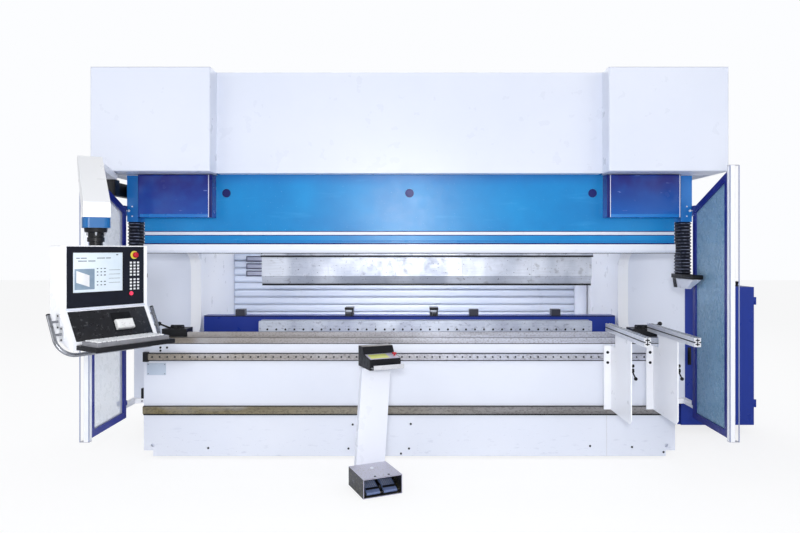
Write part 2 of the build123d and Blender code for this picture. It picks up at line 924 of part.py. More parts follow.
nodes["laser_posts"] = [laser_post(), mirrored(laser_post())]


# Folded bellows between the post and the laser head
def bellows():
    pitch = (post_bottom_z - bellows_bottom_z) / bellows_folds
    low_y = at(post_front)
    high_y = at(post_front + post_depth)
    folds = []
    for index in range(bellows_folds):
        z_low = bellows_bottom_z + index * pitch
        sections = []
        for height, inset in ((0, bellows_fold_depth), (pitch / 2, 0), (pitch, bellows_fold_depth)):
            width = post_width - 2 * inset
            depth = high_y - low_y - 2 * inset
            middle = (post_inner_x + post_width / 2, (low_y + high_y) / 2, z_low + height)
            sections.append(Pos(*middle) * Rectangle(width, depth))
        folds.append(loft(sections, ruled=True))
    stack = folds[0]
    return stack.fuse(*folds[1:])


nodes["bellows"] = [bellows(), mirrored(bellows())]


# Laser head: a top plate and a body that tapers down to the lens
def laser_head():
    top_z = bellows_bottom_z
    plate_z = top_z - laser_plate_height
    x_limits = (post_inner_x - laser_plate_margin, post_outer_x - laser_plate_inset)
    y_limits = (at(post_front - laser_plate_reach), at(post_front + post_depth))
    plate = box_between(x_limits, y_limits, (plate_z, top_z))
    seat = box_between((x_limits[1], post_outer_x), (at(post_front), y_limits[1]), (plate_z, top_z))
    body_bottom_z = plate_z - laser_body_height
    middle_x = (x_limits[0] + x_limits[1]) / 2
    middle_y = (y_limits[0] + y_limits[1]) / 2
    width = x_limits[1] - x_limits[0] - laser_body_margin
    depth = y_limits[1] - y_limits[0] - laser_body_margin
    upper = Pos(middle_x, middle_y, plate_z) * Rectangle(width, depth)
    share = laser_body_taper_share
    lower_y = middle_y + depth * (1 - share) / 2
    lower = Pos(middle_x, lower_y, body_bottom_z) * Rectangle(width * share, depth * share)
    body = loft([upper, lower], ruled=True)
    lens_start = (middle_x - width / 2 - overrun, bend_y, body_bottom_z + laser_body_height / 2)
    lens_length = width * (1 - share) / 2 + laser_lens_depth + overrun
    lens = rod(lens_start, (1, 0, 0), laser_lens_radius, lens_length)
    return plate + seat + body - lens


nodes["right_laser_head"] = [laser_head()]
nodes["left_laser_head"] = [mirrored(laser_head())]


# Guard door: an open frame with a sloped top, its front profile and its hinge knuckles
def door_outline(inset):
    back_y = hinge_axis_y - hinge_eye_radius - slide_clearance
    front_y = hinge_axis_y - door_length
    slope = (door_front_top_z - door_hinge_top_z) / (back_y - front_y)
    low_y = front_y + inset
    high_y = back_y - inset
    drop = inset * (1 + slope ** 2) ** 0.5
    high_top = door_hinge_top_z + slope * (back_y - high_y) - drop
    low_top = door_hinge_top_z + slope * (back_y - low_y) - drop
    bottom_z = door_bottom_z + inset
    return [(low_y, bottom_z), (high_y, bottom_z), (high_y, high_top), (low_y, low_top)]


def door_knuckle(z_arm):
    z_low = z_arm + hinge_arm_height / 2 + slide_clearance
    z_limits = (z_low, z_low + hinge_knuckle_height)
    eye = rod((hinge_axis_x, hinge_axis_y, z_low), (0, 0, 1), hinge_eye_radius, hinge_knuckle_height)
    leaf_x = (door_x - door_thickness / 2, hinge_axis_x + hinge_eye_radius)
    leaf = box_between(leaf_x, (hinge_axis_y - door_stile, hinge_axis_y), z_limits)
    bore_start = (hinge_axis_x, hinge_axis_y, z_low - overrun)
    bore = rod(bore_start, (0, 0, 1), hinge_pin_radius + pin_clearance, hinge_knuckle_height + 2 * overrun)
    return eye + leaf - bore


def door_frame():
    x_low = door_x - door_thickness / 2
    x_high = door_x + door_thickness / 2
    frame = plate_yz(door_outline(0), x_low, x_high)
    frame = frame - plate_yz(door_outline(door_stile), x_low - overrun, x_high + overrun)
    groove_x = (door_x - door_pane_thickness / 2, door_x + door_pane_thickness / 2)
    frame = frame - plate_yz(door_outline(door_stile - door_pane_lap), *groove_x)
    for z_arm in (hinge_low_z, hinge_high_z):
        frame = frame + door_knuckle(z_arm)
    return frame


def door_profile():
    back_y = hinge_axis_y - door_length
    x_limits = (door_x - profile_width / 2, door_x + profile_width / 2)
    z_limits = (door_bottom_z - profile_below, door_front_top_z + profile_above)
    bar = box_between(x_limits, (back_y - profile_width, back_y), z_limits)
    bar = fillet(bar.edges().filter_by(Axis.Z).group_by(Axis.Y)[0], profile_groove / 2)
    groove_back = back_y - (profile_width - profile_groove) / 2
    groove_y = (groove_back - profile_groove, groove_back)
    for side in (-1, 1):
        groove_low = side * profile_width / 2 - profile_groove / 2
        groove_x = (door_x + groove_low, door_x + groove_low + profile_groove)
        bar = bar - box_between(groove_x, groove_y, (z_limits[0] - overrun, z_limits[1] + overrun))
    return bar


def door_pane():
    gap = door_pane_lap - slide_clearance
    pane_x = (door_x - door_pane_thickness / 2, door_x + door_pane_thickness / 2)
    return plate_yz(door_outline(door_stile - gap), *pane_x)


nodes["right_door_frame"] = [door_frame(), door_profile()]
nodes["left_door_frame"] = [mirrored(solid) for solid in nodes["right_door_frame"]]
nodes["right_door_pane"] = [door_pane()]
nodes["left_door_pane"] = [mirrored(door_pane())]


# Electrical cabinet: a shell open at the front, with a plinth that reaches the frame
cabinet_x = (side_cover_outer_x + cabinet_gap, side_cover_outer_x + cabinet_gap + cabinet_width)
cabinet_z = (cabinet_bottom_z, cabinet_bottom_z + cabinet_height)
cabinet_front_y = at(cabinet_front)
cabinet_shell_y = cabinet_front_y + cabinet_door_thickness + slide_clearance
cabinet_back_y = cabinet_front_y + cabinet_depth
cabinet_axis_x = cabinet_x[1] + cabinet_hinge_out
cabinet_axis_y = cabinet_front_y + cabinet_door_thickness / 2
cabinet_hinge_zs = (cabinet_z[0] + cabinet_hinge_inset, cabinet_z[1] - cabinet_hinge_inset)


def cabinet_ear(z_low):
    z_limits = (z_low, z_low + cabinet_hinge_height)
    neck_x = (cabinet_axis_x - cabinet_eye_radius, cabinet_axis_x + cabinet_eye_radius)
    leaf_back = cabinet_shell_y + cabinet_hinge_leaf
    neck = box_between(neck_x, (cabinet_axis_y, leaf_back), z_limits)
    leaf = box_between((cabinet_x[1], neck_x[1]), (cabinet_shell_y, leaf_back), z_limits)
    eye_start = (cabinet_axis_x, cabinet_axis_y, z_low)
    eye = rod(eye_start, (0, 0, 1), cabinet_eye_radius, cabinet_hinge_height)
    pin = rod(eye_start, (0, 0, 1), cabinet_pin_radius, 2 * cabinet_hinge_height)
    return neck + leaf + eye + pin


def cabinet():
    shell = box_between(cabinet_x, (cabinet_shell_y, cabinet_back_y), cabinet_z)
    inner_x = (cabinet_x[0] + cabinet_wall, cabinet_x[1] - cabinet_wall)
    inner_y = (cabinet_shell_y - overrun, cabinet_back_y - cabinet_wall)
    inner_z = (cabinet_z[0] + cabinet_wall, cabinet_z[1] - cabinet_wall)
    shell = shell - box_between(inner_x, inner_y, inner_z)
    plinth_z = (cabinet_bottom_z, cabinet_bottom_z + cabinet_plinth_height)
    plinth_x = (frame_outer_x, cabinet_x[0])
    shell = shell + box_between(plinth_x, (cabinet_shell_y, cabinet_back_y), plinth_z)
    for z_low in cabinet_hinge_zs:
        shell = shell + cabinet_ear(z_low)
    return shell


def cabinet_door():
    door = box_between(cabinet_x, (cabinet_front_y, cabinet_front_y + cabinet_door_thickness), cabinet_z)
    for z_ear in cabinet_hinge_zs:
        z_low = z_ear + cabinet_hinge_height + slide_clearance
        eye_start = (cabinet_axis_x, cabinet_axis_y, z_low)
        eye = rod(eye_start, (0, 0, 1), cabinet_eye_radius, cabinet_hinge_height)
        leaf_y = (cabinet_axis_y - cabinet_eye_radius, cabinet_axis_y + cabinet_eye_radius)
        leaf = box_between((cabinet_x[1], cabinet_axis_x), leaf_y, (z_low, z_low + cabinet_hinge_height))
        bore_start = (cabinet_axis_x, cabinet_axis_y, z_low - overrun)
        bore_length = cabinet_hinge_height + 2 * overrun
        bore = rod(bore_start, (0, 0, 1), cabinet_pin_radius + pin_clearance, bore_length)
        door = door + eye + leaf - bore
    return door


nodes["cabinet"] = [cabinet()]
nodes["cabinet_door"] = [cabinet_door()]

# Swing arm: a level boom from the bracket to the elbow, then a slope down to the collar
arm_pivot = (-frame_outer_x - arm_pivot_outset, at(arm_pivot_setback))
arm_elbow = (-frame_outer_x - arm_elbow_outset, at(arm_elbow_setback))
arm_end = (arm_end_inset - frame_outer_x, at(arm_end_setback))
arm_bottom_z = arm_bracket_top_z + slide_clearance
arm_top_z = arm_bottom_z + arm_height
collar_bottom_z = collar_top_z - collar_height


def arm_bracket():
    half = arm_bracket_size / 2
    x_limits = (arm_pivot[0] - half, arm_pivot[0] + half)
    y_limits = (arm_pivot[1] - half, arm_pivot[1] + half)
    block = box_between(x_limits, y_limits, (arm_bracket_bottom_z, arm_bracket_top_z))
    block = fillet(block.edges().filter_by(Axis.Z), arm_bracket_edge)
    pin_start = (*arm_pivot, arm_bracket_top_z)
    block = block + rod(pin_start, (0, 0, 1), arm_pin_radius, arm_height)
    carrier_z = (arm_bracket_bottom_z + arm_carrier_inset, arm_bracket_top_z - arm_carrier_inset)
    carrier_back = at(arm_carrier_front) + arm_carrier_width
    forward_x = (x_limits[0], x_limits[0] + arm_carrier_width)
    forward = box_between(forward_x, (arm_pivot[1], carrier_back), carrier_z)
    cross_y = (at(arm_carrier_front), carrier_back)
    cross = box_between((x_limits[0], -frame_outer_x), cross_y, carrier_z)
    return block + forward + cross


def swing_arm():
    run_x = arm_elbow[0] - arm_pivot[0]
    run_y = arm_elbow[1] - arm_pivot[1]
    middle = ((arm_pivot[0] + arm_elbow[0]) / 2, (arm_pivot[1] + arm_elbow[1]) / 2)
    turn = Rot(0, 0, degrees(atan2(run_y, run_x)))
    middle_z = (arm_bottom_z + arm_top_z) / 2
    boom = Pos(*middle, middle_z) * turn * Box(hypot(run_x, run_y), arm_width, arm_height)
    for point in (arm_pivot, arm_elbow):
        boom = boom + rod((*point, arm_bottom_z), (0, 0, 1), arm_width / 2, arm_height)
    slope_x = arm_end[0] - arm_elbow[0]
    slope_y = arm_end[1] - arm_elbow[1]
    length = hypot(slope_x, slope_y)
    outline = [
        (0, arm_top_z),
        (0, arm_bottom_z),
        (length - arm_slope_width / 2, collar_top_z),
        (length + arm_slope_width / 2, collar_top_z),
        (length + arm_slope_width / 2, collar_top_z + arm_end_height),
        (arm_slope_width / 2, arm_top_z),
    ]
    plane = Plane(origin=(*arm_elbow, 0), x_dir=(slope_x, slope_y, 0), z_dir=(slope_y, -slope_x, 0))
    face = plane * make_face(Polyline(*outline, close=True))
    boom = boom + extrude(face, amount=arm_slope_width / 2, both=True)
    bore_start = (*arm_pivot, arm_bottom_z - overrun)
    return boom - rod(bore_start, (0, 0, 1), arm_pin_radius + pin_clearance, arm_height + 2 * overrun)


def collar():
    middle_z = (collar_bottom_z + collar_top_z) / 2
    turn = Rot(0, 0, degrees(atan2(arm_end[1] - arm_elbow[1], arm_end[0] - arm_elbow[0])))
    ring = Pos(*arm_end, middle_z) * turn * Box(collar_width, collar_width, collar_height)
    ring = fillet(ring.edges().filter_by(Axis.Z), collar_edge)
    bore_start = (*arm_end, collar_bottom_z - overrun)
    bore_length = swivel_pin_height + overrun + slide_clearance
    return ring - rod(bore_start, (0, 0, 1), swivel_pin_radius + pin_clearance, bore_length)


nodes["arm_bracket"] = [arm_bracket()]
nodes["swing_arm"] = [swing_arm(), collar()]


# Console pieces are built in the console's own frame and then placed on the swivel axis
def on_console(part):
    return Pos(*arm_end, 0) * Rot(0, 0, console_yaw) * part


def yoke():
    top_z = collar_bottom_z - slide_clearance
    rim_z = top_z - yoke_rim_height
    base_z = console_top_z + yoke_base_height
    body = rod((0, 0, rim_z), (0, 0, 1), yoke_top_radius, yoke_rim_height)
    upper = Pos(0, 0, rim_z) * Circle(yoke_top_radius)
    waist = loft([upper, Pos(0, 0, base_z) * Circle(yoke_waist_radius)])
    base = rod((0, 0, console_top_z), (0, 0, 1), yoke_base_radius, yoke_base_height)
    pin = rod((0, 0, top_z), (0, 0, 1), swivel_pin_radius, swivel_pin_height)
    body = body + waist + base + pin
    for side in (-1, 1):
        prong_x = sorted((side * yoke_waist_radius, side * (yoke_top_radius + yoke_prong_width)))
        prong_y = (-yoke_prong_width / 2, yoke_prong_width / 2)
        body = body + box_between(prong_x, prong_y, (top_z - yoke_prong_height, top_z))
    return body


def console_hole(x, z, radius, depth):
    """Drill for a button, from in front of the panel into the housing."""
    return rod((x, console_front - overrun, z), (0, 1, 0), radius + slide_clearance, depth + overrun)


def console_housing():
    outline = [
        (console_back, console_top_z),
        (console_front, console_top_z),
        (console_front, console_knee_z),
        (console_lip_y, console_lip_z),
        (console_lip_y, console_lip_z - console_lip_height),
        (console_back, console_belly_z),
    ]
    body = plate_yz(outline, console_left_x, console_right_x)
    body = fillet(body.faces().sort_by(Axis.X)[0].edges(), console_edge)
    body = fillet(body.faces().sort_by(Axis.X)[-1].edges(), console_edge)
    body = body - console_hole(stop_x, stop_z, stop_stem_radius, stop_hole_depth)
    return body - console_hole(button_x, button_z, button_radius, button_hole_depth)


def console_panel():
    face_y = console_front - panel_thickness
    x_limits = (panel_left_x, panel_right_x)
    plate = box_between(x_limits, (face_y, console_front), (panel_bottom_z, panel_top_z))
    screen_x = (screen_left_x, screen_right_x)
    screen_z = (screen_bottom_z, screen_top_z)
    plate = plate - box_between(screen_x, (face_y - overrun, console_front + overrun), screen_z)
    plate = plate - console_hole(stop_x, stop_z, stop_stem_radius, stop_hole_depth)
    plate = plate - console_hole(button_x, button_z, button_radius, button_hole_depth)
    screen = box_between(screen_x, (face_y + screen_depth, console_front), screen_z)
    return [on_console(plate), on_console(screen)]


def mushroom(base, direction):
    """Emergency stop: a stem that enters its hole and a wide cap."""
    way = Vector(*direction)
    foot = Vector(*base) - way * stop_stem_height
    stem = rod(foot, direction, stop_stem_radius, 2 * stop_stem_height)
    cap = rod(Vector(*base) + way * stop_stem_height, direction, stop_cap_radius, stop_cap_height)
    return stem + cap


def console_button():
    start = (button_x, console_front, button_z)
    return rod(start, (0, -1, 0), button_radius, panel_thickness + button_height)


def console_shelf():
    y_limits = (console_lip_y - tray_depth, console_lip_y)
    return box_between((panel_left_x, panel_right_x), y_limits, (tray_top_z - tray_thickness, tray_top_z))


def keyboard_set():
    middle_x = (panel_left_x + panel_right_x) / 2
    middle_y = console_lip_y - tray_depth / 2
    middle_z = tray_top_z + keyboard_height / 2
    board = Pos(middle_x, middle_y, middle_z) * Box(keyboard_length, keyboard_depth, keyboard_height)
    board = fillet(board.edges().group_by(Axis.Z)[-1], keyboard_edge)
    slope = degrees(atan2(console_knee_z - console_lip_z, console_front - console_lip_y))
    share = mouse_place_share
    place_y = console_front + (console_lip_y - console_front) * share
    place_z = console_knee_z + (console_lip_z - console_knee_z) * share
    mouse = Pos(0, 0, mouse_height / 2) * Box(mouse_length, mouse_width, mouse_height)
    mouse = fillet(mouse.edges().group_by(Axis.Z)[-1], mouse_edge)
    mouse = Pos(mouse_x, place_y, place_z) * Rot(slope, 0, 0) * mouse
    return [on_console(board), on_console(mouse)]


def hand_rail():
    points = [
        (hand_rail_left_x, hand_rail_top_y, hand_rail_top_z),
        (hand_rail_left_x, hand_rail_low_y, hand_rail_low_z),
        (hand_rail_right_x, hand_rail_low_y, hand_rail_low_z),
        (hand_rail_right_x, hand_rail_top_y, hand_rail_top_z),
    ]
    path = FilletPolyline(*points, radius=hand_rail_bend)
    way = Vector(*points[1]) - Vector(*points[0])
    section = Plane(origin=points[0], z_dir=way) * Circle(hand_rail_radius)
    rail = sweep(section, path=path)
    for share in hand_rail_stub_shares:
        stub_y = hand_rail_top_y + (hand_rail_low_y - hand_rail_top_y) * share
        stub_z = hand_rail_top_z + (hand_rail_low_z - hand_rail_top_z) * share
        left_length = console_left_x - hand_rail_left_x
        right_length = hand_rail_right_x - console_right_x
        left_start = (hand_rail_left_x, stub_y, stub_z)
        right_start = (hand_rail_right_x, stub_y, stub_z)
        rail = rail + rod(left_start, (1, 0, 0), hand_rail_stub_radius, left_length)
        rail = rail + rod(right_start, (-1, 0, 0), hand_rail_stub_radius, right_length)
    return rail


nodes["console_yoke"] = [on_console(yoke())]
nodes["console_housing"] = [on_console(console_housing())]
nodes["console_panel"] = console_panel()
stop_base = (stop_x, console_front - panel_thickness, stop_z)
nodes["console_stop"] = [on_console(mushroom(stop_base, (0, -1, 0)))]
nodes["console_button"] = [on_console(console_button())]
nodes["console_shelf"] = [on_console(console_shelf())]
nodes["keyboard_set"] = keyboard_set()
nodes["hand_rail"] = [on_console(hand_rail())]


# Back gauge: two rails on the frames, a beam across them and two stop fingers
def gauge_rail():
    x_limits = (frame_inner_x - gauge_rail_width, frame_inner_x)
    y_limits = (at(gauge_rail_front), at(gauge_rail_back))
    return box_between(x_limits, y_limits, (gauge_rail_top_z - gauge_rail_height, gauge_rail_top_z))


def gauge_beam():
    x_limits = (-gauge_beam_half_width, gauge_beam_half_width)
    front_y = at(gauge_beam_front)
    back_y = front_y + gauge_beam_depth
    beam_z = (gauge_rail_top_z + slide_clearance, gauge_beam_top_z)
    pieces = [box_between(x_limits, (front_y, back_y), beam_z)]
    for block_x in rest_block_x:
        block_limits = (block_x - rest_block_width / 2, block_x + rest_block_width / 2)
        block_z = (gauge_beam_top_z, gauge_beam_top_z + rest_block_height)
        pieces.append(box_between(block_limits, (front_y, front_y + rest_block_depth), block_z))
    return pieces


def stop_finger(middle_x):
    bottom_z = gauge_beam_top_z + slide_clearance
    front_y = at(gauge_beam_front)
    block_x = (middle_x - finger_block_width / 2, middle_x + finger_block_width / 2)
    block_z = (bottom_z, bottom_z + finger_block_height)
    block = box_between(block_x, (front_y, front_y + gauge_beam_depth), block_z)
    tip_x = (middle_x - finger_tip_width / 2, middle_x + finger_tip_width / 2)
    tip_low = gauge_beam_top_z + finger_tip_rise
    tip = box_between(tip_x, (front_y - finger_tip_length, front_y), (tip_low, tip_low + finger_tip_height))
    return block + tip


nodes["backgauge_rails"] = [gauge_rail(), mirrored(gauge_rail())]
nodes["backgauge_beam"] = gauge_beam()
nodes["left_finger"] = [stop_finger(finger_left_x)]
nodes["right_finger"] = [stop_finger(finger_right_x)]

# Sheet supports: a bracket hooked on the rail, a slotted top rail and a clamp lever
flange_back_y = bed_front_y - rail_thickness - slide_clearance
flange_front_y = flange_back_y - support_flange_thickness


def support_bracket(plate_x):
    flange_x = (plate_x - support_flange_width, plate_x + support_plate)
    flange_z = (support_bottom_z, support_flange_top_z)
    flange = box_between(flange_x, (flange_front_y, flange_back_y), flange_z)
    front_y = at(-support_front)
    outline = [
        (flange_front_y, support_bottom_z),
        (flange_front_y, support_flange_top_z),
        (at(-support_step), support_flange_top_z),
        (at(-support_step), support_rail_bottom_z),
        (front_y, support_rail_bottom_z),
        (front_y, support_bottom_z + support_corner),
        (front_y + support_corner, support_bottom_z),
    ]
    bracket = flange + plate_yz(outline, plate_x, plate_x + support_plate)
    hook_y = (flange_back_y, bed_front_y - slide_clearance)
    upper_z = rail_top_z + slide_clearance
    lower_z = rail_bottom_z - slide_clearance - support_hook_height
    for hook_z in (upper_z, lower_z):
        bracket = bracket + box_between(flange_x, hook_y, (hook_z, hook_z + support_hook_height))
        bolt_start = (plate_x - support_bolt_inset, flange_front_y, hook_z + support_hook_height / 2)
        bracket = bracket + rod(bolt_start, (0, -1, 0), support_bolt_radius, support_bolt_height)
    bolt_start = (plate_x + support_plate, at(lever_setback), lever_z)
    return bracket + rod(bolt_start, (1, 0, 0), lever_bolt_radius, lever_hub_height)


def support_top(plate_x):
    middle_x = plate_x + support_plate / 2
    x_limits = (middle_x - support_rail_width / 2, middle_x + support_rail_width / 2)
    y_limits = (at(-support_rail_front), at(support_rail_back))
    top_z = support_rail_bottom_z + support_rail_height
    bar = box_between(x_limits, y_limits, (support_rail_bottom_z, top_z))
    slot_y = (y_limits[0] - overrun, y_limits[1] + overrun)
    half_slot = support_slot_width / 2
    top_slot = (top_z - support_slot_depth, top_z + overrun)
    bar = bar - box_between((middle_x - half_slot, middle_x + half_slot), slot_y, top_slot)
    side_z = (support_rail_bottom_z + top_z) / 2
    slot_z = (side_z - half_slot, side_z + half_slot)
    bar = bar - box_between((x_limits[0] - overrun, x_limits[0] + support_slot_depth), slot_y, slot_z)
    return bar - box_between((x_limits[1] - support_slot_depth, x_limits[1] + overrun), slot_y, slot_z)


def support_lever(plate_x):
    hub_x = plate_x + support_plate + slide_clearance
    pivot_y = at(lever_setback)
    hub = rod((hub_x, pivot_y, lever_z), (1, 0, 0), lever_hub_radius, lever_hub_height)
    way = Vector(sin(radians(lever_tilt)), 0, -cos(radians(lever_tilt)))
    arm_start = Vector(hub_x + lever_hub_height / 2, pivot_y, lever_z)
    arm = rod(arm_start, way, lever_arm_radius, lever_arm_length)
    ball = Pos(*(arm_start + way * lever_arm_length)) * Sphere(lever_ball_radius)
    bore_start = (hub_x - overrun, pivot_y, lever_z)
    bore_length = lever_hub_height + overrun
    bore = rod(bore_start, (1, 0, 0), lever_bolt_radius + pin_clearance, bore_length)
    return hub + arm + ball - bore


for name, inset in (("inner", inner_support_inset), ("outer", outer_support_inset)):
    plate_x = bed_half_width - inset
    nodes[name + "_support_bracket"] = [support_bracket(plate_x)]
    nodes[name + "_support_rail"] = [support_top(plate_x)]
    nodes[name + "_support_lever"] = [support_lever(plate_x)]


# Pedal stand pieces are built in the stand's own frame and then placed
def on_stand(part):
    return Pos(stand_x, at(stand_setback), 0) * Rot(0, 0, stand_yaw) * part


pedal_pin_y = -pedal_box_depth / 2 + pedal_pin_inset


def pedal_box():
    x_limits = (-pedal_box_width / 2, pedal_box_width / 2)
    y_limits = (-pedal_box_depth / 2, pedal_box_depth / 2)
    box = box_between(x_limits, y_limits, (0, pedal_box_height))
    inner_x = (x_limits[0] + pedal_box_wall, x_limits[1] - pedal_box_wall)
    inner_y = (y_limits[0] - overrun, y_limits[1] - pedal_box_wall)
    box = box - box_between(inner_x, inner_y, (pedal_box_wall, pedal_box_height - pedal_box_wall))
    pin_length = inner_x[1] - inner_x[0]
    return box + rod((inner_x[0], pedal_pin_y, pedal_pin_z), (1, 0, 0), pedal_pin_radius, pin_length)


def pedal(side):
    middle_x = side * (pedal_gap + pedal_width) / 2
    low_x = middle_x - pedal_width / 2
    plate_z = (pedal_eye_radius - pedal_thickness, pedal_eye_radius)
    plate = box_between((low_x, low_x + pedal_width), (0, pedal_length), plate_z)
    eye = rod((low_x, 0, 0), (1, 0, 0), pedal_eye_radius, pedal_width)
    bore_start = (low_x - overrun, 0, 0)
    bore = rod(bore_start, (1, 0, 0), pedal_pin_radius + pin_clearance, pedal_width + 2 * overrun)
    return Pos(0, pedal_pin_y, pedal_pin_z) * Rot(pedal_tilt, 0, 0) * (plate + eye - bore)


column_top_x = column_offset + column_lean


def stand_column():
    back_y = pedal_box_depth / 2 + column_depth
    half = column_width / 2
    outline = [
        (column_offset - half, 0),
        (column_offset + half, 0),
        (column_top_x + half, column_height),
        (column_top_x - half, column_height),
    ]
    plane = Plane(origin=(0, back_y, 0), x_dir=(1, 0, 0), z_dir=(0, -1, 0))
    face = plane * make_face(Polyline(*outline, close=True))
    return extrude(face, amount=column_depth, dir=(0, -1, 0))


operator_middle_x = column_top_x + operator_box_shift
operator_x = (operator_middle_x - operator_box_width / 2, operator_middle_x + operator_box_width / 2)
operator_back_y = operator_box_front + operator_box_depth
operator_cover_front = operator_back_y - operator_cover_depth
operator_top_z = column_height + operator_box_height
stand_stop_x = operator_x[1] - stand_stop_inset_x
stop_deck_share = (stand_stop_y - operator_box_front) / (operator_cover_front - operator_box_front)
stand_stop_z = operator_top_z + operator_deck_rise * stop_deck_share


# Operator box: a deck that slopes up to a raised cover at the back, and a flap along the front
def operator_box():
    cover_top = operator_top_z + operator_cover_height
    outline = [
        (operator_box_front, column_height),
        (operator_box_front, operator_top_z),
        (operator_cover_front, operator_top_z + operator_deck_rise),
        (operator_cover_front + operator_cover_slope, cover_top),
        (operator_back_y, cover_top),
        (operator_back_y, column_height),
    ]
    base = plate_yz(outline, *operator_x)
    base = fillet(base.edges().filter_by(Axis.Z), operator_box_edge)
    hole_depth = 2 * stop_stem_height
    hole_start = (stand_stop_x, stand_stop_y, stand_stop_z - hole_depth)
    hole_length = hole_depth + operator_deck_rise
    base = base - rod(hole_start, (0, 0, 1), stop_stem_radius + slide_clearance, hole_length)
    flap_x = (operator_x[0] + flap_inset, operator_x[1] - flap_inset)
    flap_y = (operator_box_front - flap_reach, operator_box_front)
    flap_low = column_height + flap_rise
    flap = box_between(flap_x, flap_y, (flap_low, flap_low + flap_thickness))
    lip_y = (flap_y[0], flap_y[0] + flap_thickness)
    flap = flap + box_between(flap_x, lip_y, (flap_low, flap_low + flap_lip))
    return [on_stand(base), on_stand(flap)]


nodes["pedal_box"] = [on_stand(pedal_box())]
nodes["left_pedal"] = [on_stand(pedal(-1))]
nodes["right_pedal"] = [on_stand(pedal(1))]
nodes["stand_column"] = [on_stand(stand_column())]
nodes["operator_box"] = operator_box()
nodes["stand_stop"] = [on_stand(mushroom((stand_stop_x, stand_stop_y, stand_stop_z), (0, 0, 1)))]


# One file for each named piece or group of like pieces
os.makedirs("parts", exist_ok=True)
for name, pieces in nodes.items():
    solids = [solid for piece in pieces for solid in piece.solids()]
    group = solids[0] if len(solids) == 1 else Compound(children=solids)
    export_step(group, "parts/" + name + ".step")
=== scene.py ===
import json
from math import atan2, cos, pi, radians, sin

import bpy
from mathutils import Matrix, Vector


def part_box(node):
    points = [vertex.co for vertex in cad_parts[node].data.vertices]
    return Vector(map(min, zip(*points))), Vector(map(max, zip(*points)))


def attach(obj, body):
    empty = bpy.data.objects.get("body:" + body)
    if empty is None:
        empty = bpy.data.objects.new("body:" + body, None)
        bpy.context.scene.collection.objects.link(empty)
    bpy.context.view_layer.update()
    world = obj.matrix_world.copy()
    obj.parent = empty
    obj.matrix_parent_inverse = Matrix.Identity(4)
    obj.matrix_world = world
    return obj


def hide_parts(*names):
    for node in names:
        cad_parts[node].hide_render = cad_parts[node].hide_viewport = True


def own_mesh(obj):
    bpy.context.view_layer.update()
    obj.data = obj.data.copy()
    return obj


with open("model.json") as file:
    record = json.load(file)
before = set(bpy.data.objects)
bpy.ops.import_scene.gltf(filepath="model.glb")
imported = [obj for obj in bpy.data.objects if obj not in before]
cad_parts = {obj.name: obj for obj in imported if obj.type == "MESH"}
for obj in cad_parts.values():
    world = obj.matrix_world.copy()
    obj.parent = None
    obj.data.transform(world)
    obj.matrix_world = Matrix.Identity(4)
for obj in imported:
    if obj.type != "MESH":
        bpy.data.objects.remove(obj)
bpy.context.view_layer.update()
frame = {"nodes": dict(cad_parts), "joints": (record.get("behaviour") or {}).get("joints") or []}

# A hydraulic press brake. Metres, in the frame of the solids:
# +X to the operator's right, +Y to the back, +Z up.

joints = {joint["name"]: joint for joint in frame["joints"]}
UP = Vector((0, 0, 1))
FRONT = Vector((0, -1, 0))
ACROSS = Vector((1, 0, 0))

# Photograph: size of the image, focal length and vanishing point in pixels, and where the camera stood
image_width, image_height = 800, 533
focal_pixels = 655
vanishing_x, vanishing_y = 409.5, 250
camera_height = 1.66
camera_distance = 5.214

bed_low, bed_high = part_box("bed_plate")
bed_front = bed_low.y


# Small tools

def linear(hex_colour):
    """An sRGB hex colour as the linear colour that a shader takes."""
    channels = [int(hex_colour[start:start + 2], 16) / 255 for start in (1, 3, 5)]
    return (*[c / 12.92 if c <= 0.04045 else ((c + 0.055) / 1.055) ** 2.4 for c in channels], 1.0)


def add(tree, kind, links=None, inputs=None, **settings):
    """Add a node with its settings, its input values and its links."""
    node = tree.nodes.new(kind)
    for name, value in settings.items():
        setattr(node, name, value)
    for name, value in (inputs or {}).items():
        node.inputs[name].default_value = value
    for name, socket in (links or {}).items():
        tree.links.new(socket, node.inputs[name])
    return node


def patches(tree, place, size, low, high, stretch=(1, 1, 1), detail=4):
    """Factor of a cloudy pattern with patches about size across: 0 below low, 1 above high."""
    mapping = add(tree, "ShaderNodeMapping", {"Vector": place}, {"Scale": stretch})
    fineness = {"Scale": 1 / size, "Detail": detail}
    noise = add(tree, "ShaderNodeTexNoise", {"Vector": mapping.outputs[0]}, fineness)
    spread = {"From Min": low, "From Max": high}
    return add(tree, "ShaderNodeMapRange", {"Value": noise.outputs[0]}, spread).outputs[0]


def laid_over(tree, base, coat, pattern, strength=1.0):
    """Colour of a base with a coat over it by a pattern; each is a hex colour or the output of a node."""
    if strength < 1:
        fainter = add(tree, "ShaderNodeMath", {0: pattern}, {1: strength}, operation="MULTIPLY")
        pattern = fainter.outputs[0]
    mix = add(tree, "ShaderNodeMix", {0: pattern}, data_type="RGBA")
    for index, colour in ((6, base), (7, coat)):
        if isinstance(colour, str):
            mix.inputs[index].default_value = linear(colour)
        else:
            tree.links.new(colour, mix.inputs[index])
    return mix.outputs[2]


def towards(tree, place, axis, start, end):
    """Pattern that runs from 0 at start to 1 at end along an axis of the machine."""
    along = add(tree, "ShaderNodeSeparateXYZ", {0: place}).outputs[axis]
    limits = {"From Min": start, "From Max": end}
    return add(tree, "ShaderNodeMapRange", {"Value": along}, limits).outputs[0]


